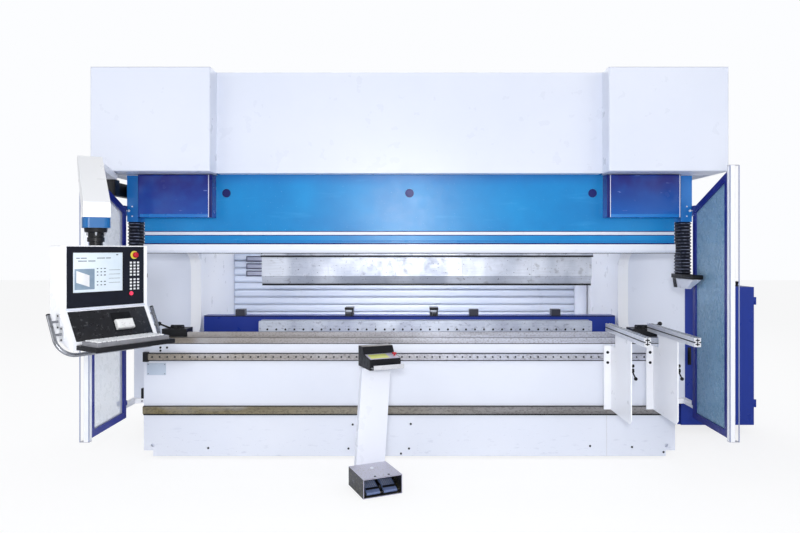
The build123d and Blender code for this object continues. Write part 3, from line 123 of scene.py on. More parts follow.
def beyond(tree, place, direction, limit, mirrored=False):
    """1 where a point lies further than a limit along a direction, else 0."""
    if mirrored:
        place = add(tree, "ShaderNodeVectorMath", {0: place}, operation="ABSOLUTE").outputs[0]
    along = add(tree, "ShaderNodeVectorMath", {0: place}, {1: direction}, operation="DOT_PRODUCT")
    far = add(tree, "ShaderNodeMath", {0: along.outputs["Value"]}, {1: limit}, operation="GREATER_THAN")
    return far.outputs[0]


def zoned(tree, place, tone, zones):
    """A colour with zones of other colours, each as (direction, limit, mirrored, colour)."""
    for direction, limit, mirrored, colour in zones:
        tone = laid_over(tree, tone, colour, beyond(tree, place, direction, limit, mirrored))
    return tone


def new_finish(name, **numbers):
    """A material with its shader, and the place on the piece that its patterns read."""
    material = bpy.data.materials.new(name)
    material.use_nodes = True
    tree = material.node_tree
    shader = tree.nodes["Principled BSDF"]
    for socket, value in numbers.items():
        shader.inputs[socket.replace("_", " ").title().replace("Ior", "IOR")].default_value = value
    return material, tree, shader, add(tree, "ShaderNodeTexCoord").outputs["Object"]


def connect(tree, shader, colour, roughness=None, height=None, depth=0.001):
    """Join a colour, a roughness and a relief to a shader."""
    tree.links.new(colour, shader.inputs["Base Color"])
    if roughness is not None:
        tree.links.new(roughness, shader.inputs["Roughness"])
    if height is not None:
        bump = add(tree, "ShaderNodeBump", {"Height": height}, {"Distance": depth})
        tree.links.new(bump.outputs[0], shader.inputs["Normal"])


def spread_roughness(tree, place, size, smooth, rough):
    """Roughness that wanders between two values."""
    noise = add(tree, "ShaderNodeTexNoise", {"Vector": place}, {"Scale": 1 / size, "Detail": 3})
    limits = {"From Min": 0.3, "From Max": 0.7, "To Min": smooth, "To Max": rough}
    return add(tree, "ShaderNodeMapRange", {"Value": noise.outputs[0]}, limits).outputs[0]


# Finishes

def enamel(name, colour, shade, marks, marks_from=0.78, marks_size=0.009, gloss=(0.26, 0.40), shine=0.4,
           zones=()):
    """Sprayed machine enamel: cloudy by a tone, specked with grime, with a faint orange-peel relief.

    The peel of the real paint is about 1 mm, too fine to show, so it is drawn at 9 mm.
    In a zone, the paint beyond a limit along a direction has another colour.
    """
    material, tree, shader, place = new_finish(name, ior=1.5, specular_ior_level=shine)
    tone = laid_over(tree, colour, shade, patches(tree, place, 0.8, 0.32, 0.68))
    tone = zoned(tree, place, tone, zones)
    grime = patches(tree, place, marks_size, marks_from, marks_from + 0.04, (1, 1, 0.7))
    tone = laid_over(tree, tone, marks, grime, 0.7)
    peel = add(tree, "ShaderNodeTexNoise", {"Vector": place}, {"Scale": 1 / 0.009, "Detail": 2})
    connect(tree, shader, tone, spread_roughness(tree, place, 0.12, *gloss), peel.outputs[0], 0.00010)
    return material


def worn_bed_enamel(name):
    """White enamel of the bed's apron: scuffed and spattered near the floor, clean above."""
    material, tree, shader, place = new_finish(name, ior=1.5, specular_ior_level=0.4)
    tone = laid_over(tree, "#e6eaf5", "#e1e6f3", patches(tree, place, 0.8, 0.32, 0.68))
    lowness = towards(tree, place, "Z", 0.36, 0.06)
    scuffs = patches(tree, place, 0.05, 0.60, 0.70, (0.5, 1, 1.6), detail=8)
    scuffs = add(tree, "ShaderNodeMath", {0: scuffs, 1: lowness}, operation="MULTIPLY").outputs[0]
    tone = laid_over(tree, tone, "#b3b9cc", scuffs, 0.35)
    spatter = patches(tree, place, 0.010, 0.69, 0.72)
    spatter = add(tree, "ShaderNodeMath", {0: spatter, 1: lowness}, operation="MULTIPLY").outputs[0]
    tone = laid_over(tree, tone, "#7b8398", spatter, 0.8)
    specks = patches(tree, place, 0.012, 0.79, 0.81)
    tone = laid_over(tree, tone, "#7b8398", specks, 0.8)
    peel = add(tree, "ShaderNodeTexNoise", {"Vector": place}, {"Scale": 1 / 0.009, "Detail": 2})
    connect(tree, shader, tone, spread_roughness(tree, place, 0.1, 0.28, 0.44), peel.outputs[0], 0.00010)
    return material


def ram_enamel(name):
    """Bright blue enamel of the ram, glossy enough to mirror a lamp softly, with pale wipe marks and a
    painted shade that darkens it just under the covers.
    """
    material, tree, shader, place = new_finish(name, ior=1.5, specular_ior_level=0.2, coat_weight=0.4,
                                              coat_roughness=0.28)
    tone = laid_over(tree, "#028dd0", "#027cc0", patches(tree, place, 0.35, 0.30, 0.70))
    # painted shade: the blue darkens towards the ram's top, under the overhanging covers
    under_cover_shade = towards(tree, place, "Z", 2.18, 2.26)
    tone = laid_over(tree, tone, "#1c62b4", under_cover_shade, 0.45)
    specks = patches(tree, place, 0.010, 0.68, 0.72)
    tone = laid_over(tree, tone, "#8ac8ee", specks, 0.5)
    pale_streaks = patches(tree, place, 0.05, 0.60, 0.75, (0.15, 1, 1))
    tone = laid_over(tree, tone, "#44a8e2", pale_streaks, 0.25)
    peel = add(tree, "ShaderNodeTexNoise", {"Vector": place}, {"Scale": 1 / 0.008, "Detail": 2})
    connect(tree, shader, tone, spread_roughness(tree, place, 0.07, 0.30, 0.42), peel.outputs[0], 0.00018)
    return material


def ground_steel(name, bright, dull, stain, stain_from=0.60, stain_size=0.03, gloss=(0.32, 0.48),
                 metallic=0.6):
    """Ground tool steel: fine grinding lines along the length, clouded patches and small rust spots.

    The real lines are finer than 0.2 mm, so they are drawn 2 mm wide.
    """
    material, tree, shader, place = new_finish(name, metallic=metallic)
    lines = patches(tree, place, 0.002, 0.35, 0.65, (0.01, 1, 1), detail=2)
    cloud = patches(tree, place, 0.22, 0.38, 0.62, (1, 1, 0.5), detail=5)
    tone = laid_over(tree, bright, dull, cloud)
    tone = laid_over(tree, tone, stain, lines, 0.25)
    stains = patches(tree, place, stain_size, stain_from, stain_from + 0.10, (0.7, 1, 1), detail=8)
    tone = laid_over(tree, tone, stain, stains, 0.45)
    spots = patches(tree, place, 0.014, 0.66, 0.69)
    tone = laid_over(tree, tone, "#55535a", spots, 0.8)
    connect(tree, shader, tone, spread_roughness(tree, place, 0.04, *gloss), lines, 0.00006)
    return material


def oily_steel(name, brown, silver, dark, zones=()):
    """Rolled steel, browned by oil on the left and rubbed to silver by sheets towards the right."""
    material, tree, shader, place = new_finish(name, metallic=0.35)
    tone = laid_over(tree, brown, silver, towards(tree, place, "X", -1.9, 0.7))
    smears = patches(tree, place, 0.06, 0.35, 0.75, (0.06, 1, 1.4), detail=8)
    tone = laid_over(tree, tone, dark, smears, 0.5)
    grain = patches(tree, place, 0.010, 0.48, 0.62, (0.6, 1, 1), detail=6)
    tone = laid_over(tree, tone, dark, grain, 0.4)
    rubbed = patches(tree, place, 0.3, 0.54, 0.68, (0.5, 1, 1), detail=3)
    tone = laid_over(tree, tone, "#d4d7e2", rubbed, 0.35)
    tone = zoned(tree, place, tone, zones)
    connect(tree, shader, tone, spread_roughness(tree, place, 0.06, 0.32, 0.55), grain, 0.0003)
    return material


def anodised_aluminium(name):
    """Drawn and anodised aluminium: pale satin with faint draw lines."""
    material, tree, shader, place = new_finish(name, metallic=0.55)
    lines = patches(tree, place, 0.0025, 0.35, 0.65, (1, 0.02, 1), detail=2)
    tone = laid_over(tree, "#f2f4f8", "#dcdfe6", lines)
    stains = patches(tree, place, 0.03, 0.62, 0.74)
    tone = laid_over(tree, tone, "#a3a29c", stains, 0.4)
    connect(tree, shader, tone, spread_roughness(tree, place, 0.05, 0.28, 0.4), lines, 0.00005)
    return material


def moulded_plastic(name, colour, shade, dust=None, gloss=(0.38, 0.55), shine=0.4, zones=()):
    """Moulded ABS: a fine eroded grain, a little worn shiny, with dust in it. The grain is drawn at 2 mm."""
    material, tree, shader, place = new_finish(name, ior=1.53, specular_ior_level=shine)
    tone = laid_over(tree, colour, shade, patches(tree, place, 0.05, 0.32, 0.68))
    tone = zoned(tree, place, tone, zones)
    if dust:
        dusty = patches(tree, place, 0.02, 0.60, 0.74, detail=8)
        tone = laid_over(tree, tone, dust, dusty, 0.4)
    fine = add(tree, "ShaderNodeTexNoise", {"Vector": place}, {"Scale": 1 / 0.0022, "Detail": 2})
    connect(tree, shader, tone, spread_roughness(tree, place, 0.03, *gloss), fine.outputs[0], 0.0001)
    return material


def coated_fabric(name, fold_height, first_z):
    """Black coated fabric of a bellows, with a painted grey highlight on the outer edge of each fold, broken
    into patches.
    """
    material, tree, shader, place = new_finish(name, ior=1.5)
    split = add(tree, "ShaderNodeSeparateXYZ", {0: place})
    up = add(tree, "ShaderNodeMath", {0: split.outputs[2]}, {1: first_z}, operation="SUBTRACT").outputs[0]
    turns = add(tree, "ShaderNodeMath", {0: up}, {1: fold_height}, operation="DIVIDE").outputs[0]
    share = add(tree, "ShaderNodeMath", {0: turns}, operation="FRACT").outputs[0]
    away = add(tree, "ShaderNodeMath", {0: share}, {1: 0.5}, operation="SUBTRACT").outputs[0]
    away = add(tree, "ShaderNodeMath", {0: away}, operation="ABSOLUTE").outputs[0]
    # painted highlight: grey on the outer edge of each fold, in patches
    ridge = add(tree, "ShaderNodeMapRange", {"Value": away}, {"From Min": 0.14, "From Max": 0.03}).outputs[0]
    highlight_patches = patches(tree, place, 0.03, 0.35, 0.6)
    ridge = add(tree, "ShaderNodeMath", {0: ridge, 1: highlight_patches}, operation="MULTIPLY").outputs[0]
    tone = laid_over(tree, "#141827", "#a9b2cd", ridge, 0.85)
    weave = add(tree, "ShaderNodeTexNoise", {"Vector": place}, {"Scale": 1 / 0.0025, "Detail": 2})
    connect(tree, shader, tone, spread_roughness(tree, place, 0.02, 0.40, 0.6), weave.outputs[0], 0.0001)
    return material


def tinted_guard(name):
    """Tinted acrylic of the guard windows: a glossy sheet of indigo, with a painted reflection that brightens
    it to blue at its foot and towards the right, and painted pale streaks of reflected light.
    """
    material, tree, shader, place = new_finish(name, ior=1.49, specular_ior_level=0.3)
    # painted reflection: lighter blue towards the foot of each window and towards the right-hand window
    foot = laid_over(tree, "#20459c", "#155fb4", towards(tree, place, "X", -2.0, 2.0))
    tone = laid_over(tree, "#1d2578", foot, towards(tree, place, "Z", 2.20, 1.93))
    cloud = patches(tree, place, 0.12, 0.40, 0.7, detail=6)
    tone = laid_over(tree, tone, "#1f58ac", cloud, 0.4)
    # painted reflection: pale streaks of reflected light
    pale_streaks = patches(tree, place, 0.02, 0.70, 0.74, (0.2, 1, 1))
    tone = laid_over(tree, tone, "#8ea2e0", pale_streaks, 0.45)
    connect(tree, shader, tone, spread_roughness(tree, place, 0.1, 0.16, 0.28))
    return material


def frosted_pane(name, tint, shade, haze_tint, cover):
    """Polycarbonate of the guard doors, hazy with fine dust and half see-through."""
    material, tree, shader, place = new_finish(name, ior=1.58, alpha=cover, specular_ior_level=0.3)
    tone = laid_over(tree, tint, shade, patches(tree, place, 0.5, 0.35, 0.65))
    haze = patches(tree, place, 0.012, 0.50, 0.62, detail=6)
    tone = laid_over(tree, tone, haze_tint, haze, 0.5)
    connect(tree, shader, tone, spread_roughness(tree, place, 0.05, 0.22, 0.36))
    return material


def lit_screen(name):
    """Lit display behind glass: near-white, glowing about as bright as paper in daylight."""
    material, tree, shader, place = new_finish(name, ior=1.5, roughness=0.12, emission_strength=0.22)
    tone = laid_over(tree, "#d3dde6", "#c6d3de", patches(tree, place, 0.2, 0.3, 0.7))
    tree.links.new(tone, shader.inputs["Emission Color"])
    connect(tree, shader, tone)
    return material


white = enamel("white_machine_enamel", "#eaedf7", "#e5e9f5", "#aab0c2", 0.80)
sheet_white = enamel("white_sheet_enamel", "#dfe4f1", "#dae0ef", "#c2c8d8", 0.85)
bed_white = worn_bed_enamel("worn_white_enamel")
ram_blue = ram_enamel("bright_blue_enamel")
post_blue = enamel("post_blue_enamel", "#1c78c8", "#1868b8", "#0f2f63", 0.76)
royal = enamel("royal_blue_enamel", "#233c9a", "#1f3690", "#141c50", 0.76, shine=0.25)
navy = enamel("navy_enamel", "#1b2170", "#161b60", "#0d103a", 0.78, shine=0.25)
black_paint = enamel("black_enamel", "#121319", "#0d0e13", "#3c3d44", 0.72, gloss=(0.3, 0.5), shine=0.3)
tool_steel = ground_steel("ground_tool_steel", "#c9cfdc", "#a3aabb", "#75747b", 0.60, 0.05)
die_steel = ground_steel("spotted_tool_steel", "#b4bbca", "#959caf", "#5f5c63", 0.58, 0.02)
machined = ground_steel("machined_steel", "#b9bcc4", "#9b9ea7", "#6c685f", 0.62)
dark_steel = ground_steel("blued_steel", "#34363f", "#26272d", "#191817", 0.6)
table_steel = oily_steel("oil_browned_table_steel", "#8f867b", "#bfc3d2", "#5d564e")
guide_steel = oily_steel("oil_browned_guide_steel", "#94875f", "#8f8d8e", "#3b3733")
aluminium = anodised_aluminium("anodised_aluminium")
black_plastic = moulded_plastic("black_moulded_plastic", "#12131a", "#0e0f14", "#2c2d34", shine=0.25)
panel_black = moulded_plastic("panel_foil", "#141826", "#10131f", None, (0.3, 0.42), 0.2)
grey_plastic = moulded_plastic("light_grey_plastic", "#cfd0d6", "#c4c5cc", "#9b999a")
key_white = moulded_plastic("white_key_plastic", "#f1f2f4", "#e6e8ec", "#c9cad0", (0.3, 0.42))
red_plastic = moulded_plastic("red_moulded_plastic", "#c2142d", "#a81026", None, (0.2, 0.32))
yellow_plastic = moulded_plastic("yellow_plastic", "#e6d64b", "#d9c63c", "#a6962e", (0.35, 0.5))
rubber = moulded_plastic("black_rubber", "#0b0c10", "#101116", "#2c2d32", (0.55, 0.75), 0.2)


# Modelling tools

def shown(piece):
    """Leave one piece selected and active."""
    bpy.ops.object.select_all(action="DESELECT")
    piece.select_set(True)
    bpy.context.view_layer.objects.active = piece


def block(name, low, high, edge=0.0, steps=2):
    """A block between two corners with its edges rounded."""
    low, high = Vector(low), Vector(high)
    bpy.ops.object.select_all(action="DESELECT")
    bpy.ops.mesh.primitive_cube_add(size=1, location=(low + high) / 2, scale=high - low)
    bpy.ops.object.transform_apply(location=True, rotation=True, scale=True)
    piece = bpy.context.object
    piece.name = name
    bpy.ops.object.mode_set(mode="EDIT")
    bpy.ops.mesh.select_all(action="SELECT")
    bpy.ops.mesh.bevel(offset=edge or min(high - low) / 10, segments=steps, affect="EDGES")
    bpy.ops.object.mode_set(mode="OBJECT")
    return piece


def turned(name, start, way, rings, sides=24):
    """A turned piece: rings of (distance, radius) along a way from a start point."""
    first_distance, first_radius = rings[0]
    bpy.ops.object.select_all(action="DESELECT")
    bpy.ops.mesh.primitive_circle_add(vertices=sides, radius=first_radius, fill_type="NGON")
    piece = bpy.context.object
    piece.name = name
    bpy.ops.object.mode_set(mode="EDIT")
    bpy.ops.mesh.select_all(action="SELECT")
    before, width = first_distance, first_radius
    for distance, radius in rings[1:]:
        rise = (0, 0, distance - before)
        bpy.ops.mesh.extrude_region_move(TRANSFORM_OT_translate={"value": rise})
        middle = (0, 0, distance - first_distance)
        bpy.ops.transform.resize(value=(radius / width, radius / width, 1), center_override=middle)
        before, width = distance, radius
    bpy.ops.mesh.select_all(action="SELECT")
    bpy.ops.mesh.normals_make_consistent(inside=False)
    bpy.ops.object.mode_set(mode="OBJECT")
    turn = UP.rotation_difference(Vector(way)).to_matrix().to_4x4()
    advance = Matrix.Translation((0, 0, first_distance))
    piece.data.transform(Matrix.Translation(Vector(start)) @ turn @ advance)
    return piece


def joined(name, pieces):
    """Several pieces as one group."""
    bpy.ops.object.select_all(action="DESELECT")
    for piece in pieces:
        piece.select_set(True)
    bpy.context.view_layer.objects.active = pieces[0]
    bpy.ops.object.join()
    pieces[0].name = name
    return pieces[0]


def copy_of(piece, move):
    """A copy with its own mesh, moved by a matrix."""
    copy = piece.copy()
    copy.data = piece.data.copy()
    bpy.context.scene.collection.objects.link(copy)
    copy.data.transform(move)
    return copy


def row_of(piece, places):
    """A piece repeated at each place, joined as one group."""
    copies = [copy_of(piece, Matrix.Translation(Vector(place))) for place in places]
    name = piece.name
    bpy.data.objects.remove(piece)
    return joined(name, copies)


def mirror_of(piece, name):
    """The same piece on the machine's other side."""
    copy = copy_of(piece, Matrix.Scale(-1, 4, ACROSS))
    copy.data.flip_normals()
    copy.name = name
    return copy


def dress(piece, body, material, place=None):
    """Give a new piece its place, its finish, its shading and the body that it rides on."""
    if place is not None:
        piece.data.transform(place)
    piece.data.materials.clear()
    piece.data.materials.append(material)
    shown(piece)
    bpy.ops.object.shade_smooth_by_angle(angle=radians(35))
    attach(piece, body)
    return piece


def both_sides(piece, material, body="frame"):
    """Fix a piece of the right-hand side to a body, and its mirror image on the left-hand side."""
    dress(piece, body, material)
    dress(mirror_of(piece, piece.name.replace("right", "left")), body, material)


def finish_node(material, *names):
    """Give solids of the frame their finish."""
    for name in names:
        solid = frame["nodes"][name]
        solid.data.materials.clear()
        solid.data.materials.append(material)


def screw(name, start, way, radius, height, sides=16):
    """A screw head with a rounded rim and a socket."""
    rings = [
        (0, radius),
        (height * 0.75, radius),
        (height, radius * 0.82),
        (height, radius * 0.5),
        (height * 0.4, radius * 0.45),
    ]
    return turned(name, start, way, rings, sides)


# Finishes of the solids

def finish_solids():
    profile_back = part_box("right_door_frame")[0].y + 0.040
    door_zones = [(FRONT, -profile_back, False, "#eef0f6")]
    door_paint = enamel("guard_door_enamel", "#1f2b8a", "#182075", "#0f1346", 0.76, shine=0.3,
                        zones=door_zones)
    finish_node(door_paint, "left_door_frame", "right_door_frame")
    dusty_pane = frosted_pane("dusty_polycarbonate", "#84abcb", "#6d94b2", "#a4c2d6", 0.88)
    clear_pane = frosted_pane("clear_polycarbonate", "#f3f7fc", "#eaf0f8", "#dae4ef", 0.5)
    finish_node(dusty_pane, "right_door_pane")
    finish_node(clear_pane, "left_door_pane")
    collar_top = 1.8455
    arm_paint = enamel("swing_arm_enamel", "#fafbfe", "#f6f8fc", "#b4b9c8", 0.80,
                       zones=[(-UP, -collar_top, False, "#0f5f9e")])
    finish_node(arm_paint, "swing_arm")
    rail_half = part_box("support_rail")[1].x - 0.0402
    rail_zones = [(ACROSS, rail_half, True, "#15161b")]
    rail_steel = oily_steel("rail_steel", "#a89f92", "#c6cada", "#5f584f", rail_zones)
    finish_node(rail_steel, "support_rail")
    bright_white = enamel("bright_white_enamel", "#f8f9fd", "#f3f5fb", "#b4bacb", 0.81)
    finish_node(bright_white, "left_side_frame", "right_side_frame", "inner_support_bracket",
                "outer_support_bracket", "console_housing")
    finish_node(white, "frame_ties", "punch_clamp", "stand_column", "rear_guard")
    finish_node(sheet_white, "left_head_cover", "right_head_cover", "centre_cover", "left_side_cover",
                "right_side_cover")
    finish_node(bed_white, "bed_plate")
    finish_node(ram_blue, "ram")
    finish_node(post_blue, "laser_posts")
    finish_node(tinted_guard("tinted_acrylic"), "guard_windows")
    finish_node(table_steel, "table_bar")
    finish_node(guide_steel, "lower_guide_bar")
    finish_node(die_steel, "die")
    finish_node(tool_steel, "punches")
    finish_node(machined, "piston_rods", "backgauge_rails", "ram_guides")
    finish_node(dark_steel, "left_finger", "right_finger")
    finish_node(aluminium, "inner_support_rail", "outer_support_rail")
    polished = ground_steel("polished_tube_steel", "#a3a6ae", "#8d9098", "#5e5a50", gloss=(0.2, 0.3),
                            metallic=0.9)
    finish_node(polished, "hand_rail")
    finish_node(black_paint, "foot_plates", "table_end_clamps", "arm_bracket")
    finish_node(black_plastic, "inner_support_lever", "outer_support_lever", "console_shelf", "operator_box")
    finish_node(panel_black, "console_panel")
    finish_node(royal, "cabinet", "cabinet_door")
    beam_top = 1.0861
    beam_paint = enamel("back_gauge_enamel", "#263e9c", "#20358c", "#141b4c", 0.76, shine=0.25,
                        zones=[(UP, beam_top, False, "#3d3e49")])
    finish_node(beam_paint, "backgauge_beam")
    finish_node(enamel("cylinder_enamel", "#3d4048", "#32353c", "#17181b", 0.74), "hydraulic_cylinders")
    tank_high = 2.9402
    motor_start = 0.602
    pack_zones = [(ACROSS, motor_start, False, "#6a7077"), (UP, tank_high, False, "#9fa2a8")]
    pack_paint = enamel("power_pack_enamel", "#2b459d", "#243b8c", "#11163f", 0.69, zones=pack_zones)
    finish_node(pack_paint, "power_pack")
    board_top = 1.19
    board_plastic = moulded_plastic("keyboard_plastic", "#8b8c93", "#808188", "#5f5e60",
                                    zones=[(UP, board_top, False, "#eceded")])
    finish_node(board_plastic, "keyboard_set")
    box_top = 0.1285
    box_paint = enamel("pedal_box_enamel", "#26272e", "#1d1e24", "#9a9570", 0.60, 0.008,
                       zones=[(UP, box_top, False, "#c8c7d8")])
    finish_node(box_paint, "pedal_box")
    finish_node(enamel("pedal_enamel", "#6f7fa9", "#5b6b97", "#262c45", 0.64), "left_pedal", "right_pedal")


finish_solids()


# Ram: its stripe with painted shadow lines beside it, edge line, the clamp's gap with painted shade, painted
# shade in its holes, window trims and post screws

ram_low, ram_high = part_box("ram")
clamp_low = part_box("punch_clamp")[0]
window_low, window_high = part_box("guard_windows")
post_low, post_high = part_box("laser_posts")


def ram_trim():
    stripe_low, stripe_high = 1.782, 1.807
    line = 0.006
    proud = 0.003
    front, back = ram_low.y - proud, ram_low.y + proud
    end = ram_high.x - 0.002
    stripe = block("ram_stripe", (-end, front, stripe_low), (end, back, stripe_high), 0.0015)
    dress(stripe, "ram", white)
    # painted shadow: dark navy lines just above and below the stripe
    stripe_shadow_front = front + proud / 2
    stripe_shadow_low = (-end, stripe_shadow_front, stripe_low - line)
    stripe_shadow_lines = block("ram_stripe_shadow_lines", stripe_shadow_low, (end, back, stripe_high + line), 0.001)
    dress(stripe_shadow_lines, "ram", navy)
    edge = block("ram_lower_line", (-end, front, ram_low.z), (end, back, ram_low.z + 0.010), 0.001)
    dress(edge, "ram", navy)
    ridge = block("ram_lower_ridge", (-end, front, ram_low.z + 0.024), (end, back, ram_low.z + 0.029), 0.001)
    dress(ridge, "ram", post_blue)
    # painted shade: black strips stand for the shade in the clamp's gap, above the punches and along the
    # punch tips
    shadow_gap_front = clamp_low.y + 0.002
    shadow_gap_back = shadow_gap_front + 0.050
    shadow_gap_low = (-end, shadow_gap_front, clamp_low.z - 0.005)
    shadow_gap = block("clamp_gap_shadow", shadow_gap_low, (end, shadow_gap_back, clamp_low.z), 0.001)
    punch_low, punch_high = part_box("punches")
    shank_shadow_low = clamp_low.z - 0.033
    shank_shadow_high = shank_shadow_low + 0.012
    shank_shadow = block("shank_shadow", (punch_low.x, shadow_gap_front, shank_shadow_low), (punch_high.x, shadow_gap_back, shank_shadow_high), 0.001)
    tip = (punch_low.x, bed_front + 0.125, punch_low.z - 0.0005)
    tip_shadow = block("tip", tip, (punch_high.x, bed_front + 0.1435, punch_low.z + 0.013), 0.001)
    dress(joined("clamp_shadow_strips", [shadow_gap, shank_shadow, tip_shadow]), "ram", black_paint)
    bar_low = (punch_low.x, shadow_gap_front + 0.002, shank_shadow_high)
    bar = block("clamp_wedge_bar", bar_low, (punch_high.x, shadow_gap_back, clamp_low.z - 0.005), 0.001)
    dress(bar, "ram", tool_steel)
    lip_low = (-end, clamp_low.y - 0.003, clamp_low.z)
    lip = block("clamp_lip", lip_low, (end, clamp_low.y + 0.010, clamp_low.z + 0.018), 0.002)
    dress(lip, "ram", sheet_white)
    # painted shade: dark navy cups deep in the ram's three holes stand for the shade inside them
    hole_z, hole_radius = 2.119, 0.035
    rings = [(-0.040, hole_radius * 0.55), (-0.040, hole_radius * 0.985), (-0.002, hole_radius * 0.985)]
    sockets = [turned("socket", (x, ram_low.y, hole_z), FRONT, rings, 28) for x in (-1.48, 0, 1.48)]
    dress(joined("ram_hole_shade_cups", sockets), "ram", navy)


def window_trim():
    proud = 0.0025
    front = window_low.y - proud
    back = window_low.y + 0.012
    inner, outer = 1.562, window_high.x
    strip = 0.005
    navy_width = 0.024
    bottom, top = window_low.z + 0.001, window_high.z - 0.001
    border_low = (inner + 0.001, front, bottom)
    border = block("right_window_border", border_low, (inner + navy_width, back, top), 0.001)
    both_sides(border, navy, "ram")
    edge_low = (inner + navy_width, front - 0.001, bottom)
    edge = block("right_window_edge", edge_low, (inner + navy_width + strip, back, top), 0.001)
    both_sides(edge, white, "ram")
    fold_low = (inner + navy_width + strip, front, bottom)
    fold = block("right_window_fold", fold_low, (outer - 0.017, back, bottom + 0.026), 0.001)
    both_sides(fold, post_blue, "ram")
    outer_low = (outer - 0.015, front - 0.001, bottom)
    outer_edge = block("right_window_outer_edge", outer_low, (outer - 0.010, back, top), 0.001)
    dress(outer_edge, "ram", white)


def post_screws():
    front = post_low.y
    small = 0.006
    heads = [screw("head", (2.226, front, z), FRONT, small, 0.004) for z in (1.931, 2.009)]
    heads.append(screw("head", (2.252, front, 1.975), FRONT, 0.010, 0.006))
    both_sides(joined("right_post_screws", heads), white, "ram")


ram_trim()
window_trim()
post_screws()


# Bellows: folded sleeves on the ram

def bellows():
    low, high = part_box("bellows")
    folds = 16
    fold_depth = 0.010
    inner_x, outer_x = post_high.x - 0.090, post_high.x
    middle = Vector(((inner_x + outer_x) / 2, (low.y + high.y) / 2, low.z))
    width, depth = outer_x - inner_x, high.y - low.y
    half_fold = (high.z - low.z) / folds / 2
    corner = 0.008
    bpy.ops.object.select_all(action="DESELECT")
    bpy.ops.mesh.primitive_plane_add(size=1)
    sleeve = bpy.context.object
    sleeve.name = "right_bellows"
    narrow = Vector((width - 2 * fold_depth, depth - 2 * fold_depth, 1))
    bpy.ops.object.mode_set(mode="EDIT")
    bpy.ops.mesh.select_all(action="SELECT")
    bpy.ops.transform.resize(value=narrow, center_override=(0, 0, 0))
    bpy.ops.mesh.bevel(offset=corner, segments=3, affect="VERTICES")
    wide = Vector((width / narrow.x, depth / narrow.y, 1))
    rise = 0.0
    for _ in range(folds):
        for scale in (wide, Vector((1 / wide.x, 1 / wide.y, 1))):
            rise += half_fold
            bpy.ops.mesh.extrude_region_move(TRANSFORM_OT_translate={"value": (0, 0, half_fold)})
            bpy.ops.transform.resize(value=scale, center_override=(0, 0, rise))
    bpy.ops.mesh.select_all(action="SELECT")
    bpy.ops.mesh.normals_make_consistent(inside=False)
    bpy.ops.object.mode_set(mode="OBJECT")
    sleeve.data.transform(Matrix.Translation(middle))
    fabric = coated_fabric("coated_bellows_fabric", 2 * half_fold, low.z)
    left = mirror_of(sleeve, "left_bellows")
    for piece, joint in ((sleeve, "right_laser_adjust"), (left, "left_laser_adjust")):
        dress(piece, "ram", fabric)
        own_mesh(piece)
    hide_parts("bellows")


bellows()


# Laser heads: a black top plate and a white hood that is cut back on its inner side

def laser_head():
    low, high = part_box("right_laser_head")
    plate_height = 0.034
    seat_width = 0.023
    margin = 0.010
    share = 0.62
    plate_low = high.z - plate_height
    front_part = block("plate", (low.x, low.y, plate_low), (high.x - seat_width, high.y, high.z), 0.004)
    seat_low = (high.x - seat_width - 0.004, post_low.y, plate_low)
    plate = joined("right_laser_plate", [front_part, block("seat", seat_low, high, 0.004)])
    dress(plate, "right_laser", black_plastic)
    left, right = low.x + margin, high.x - seat_width - margin
    front, back = low.y + margin, high.y - margin
    hood = block("right_laser_hood", (left, front, low.z), (right, back, plate_low), 0.006, 3)
    middle_x, middle_z = (left + right) / 2, (low.z + plate_low) / 2
    for vertex in hood.data.vertices:
        if vertex.co.z < middle_z:
            vertex.co.x = middle_x + (vertex.co.x - middle_x) * share
            vertex.co.y = back + (vertex.co.y - back) * share
    dress(hood, "right_laser", sheet_white)
    lean = (right - left) / 2 * (1 - share)
    slope = atan2(lean, plate_low - low.z)
    height = (plate_low - low.z) / cos(slope)
    face_length = 0.060
    face = block("right_laser_face", (-0.004, -face_length, 0.003), (0.004, 0, height - 0.002), 0.002)
    foot = (middle_x - (right - left) / 2 * share, back, low.z)
    face.data.transform(Matrix.Translation(foot) @ Matrix.Rotation(-slope, 4, "Y"))
    dress(face, "right_laser", black_plastic)
    way = Vector((-cos(slope), 0, -sin(slope)))
    rings = [(0, 0.020), (0.003, 0.020), (0.004, 0.017), (0.004, 0.013), (0.001, 0.012), (0.0015, 0.002)]
    lens_start = (middle_x - (right - left) / 4 * (1 + share) - 0.003, bed_front + 0.140, middle_z)
    lens = turned("right_laser_lens", lens_start, way, rings)
    dress(lens, "right_laser", dark_steel)
    for piece, slot, material in ((plate, "black_plastic", black_plastic), (hood, "white_paint", sheet_white),
                                  (face, "black_plastic", black_plastic), (lens, "screen", dark_steel)):
        other = mirror_of(piece, piece.name.replace("right", "left"))
        dress(other, "left_laser", material)
        if piece is plate:
            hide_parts("left_laser_head")
    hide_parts("right_laser_head")


laser_head()
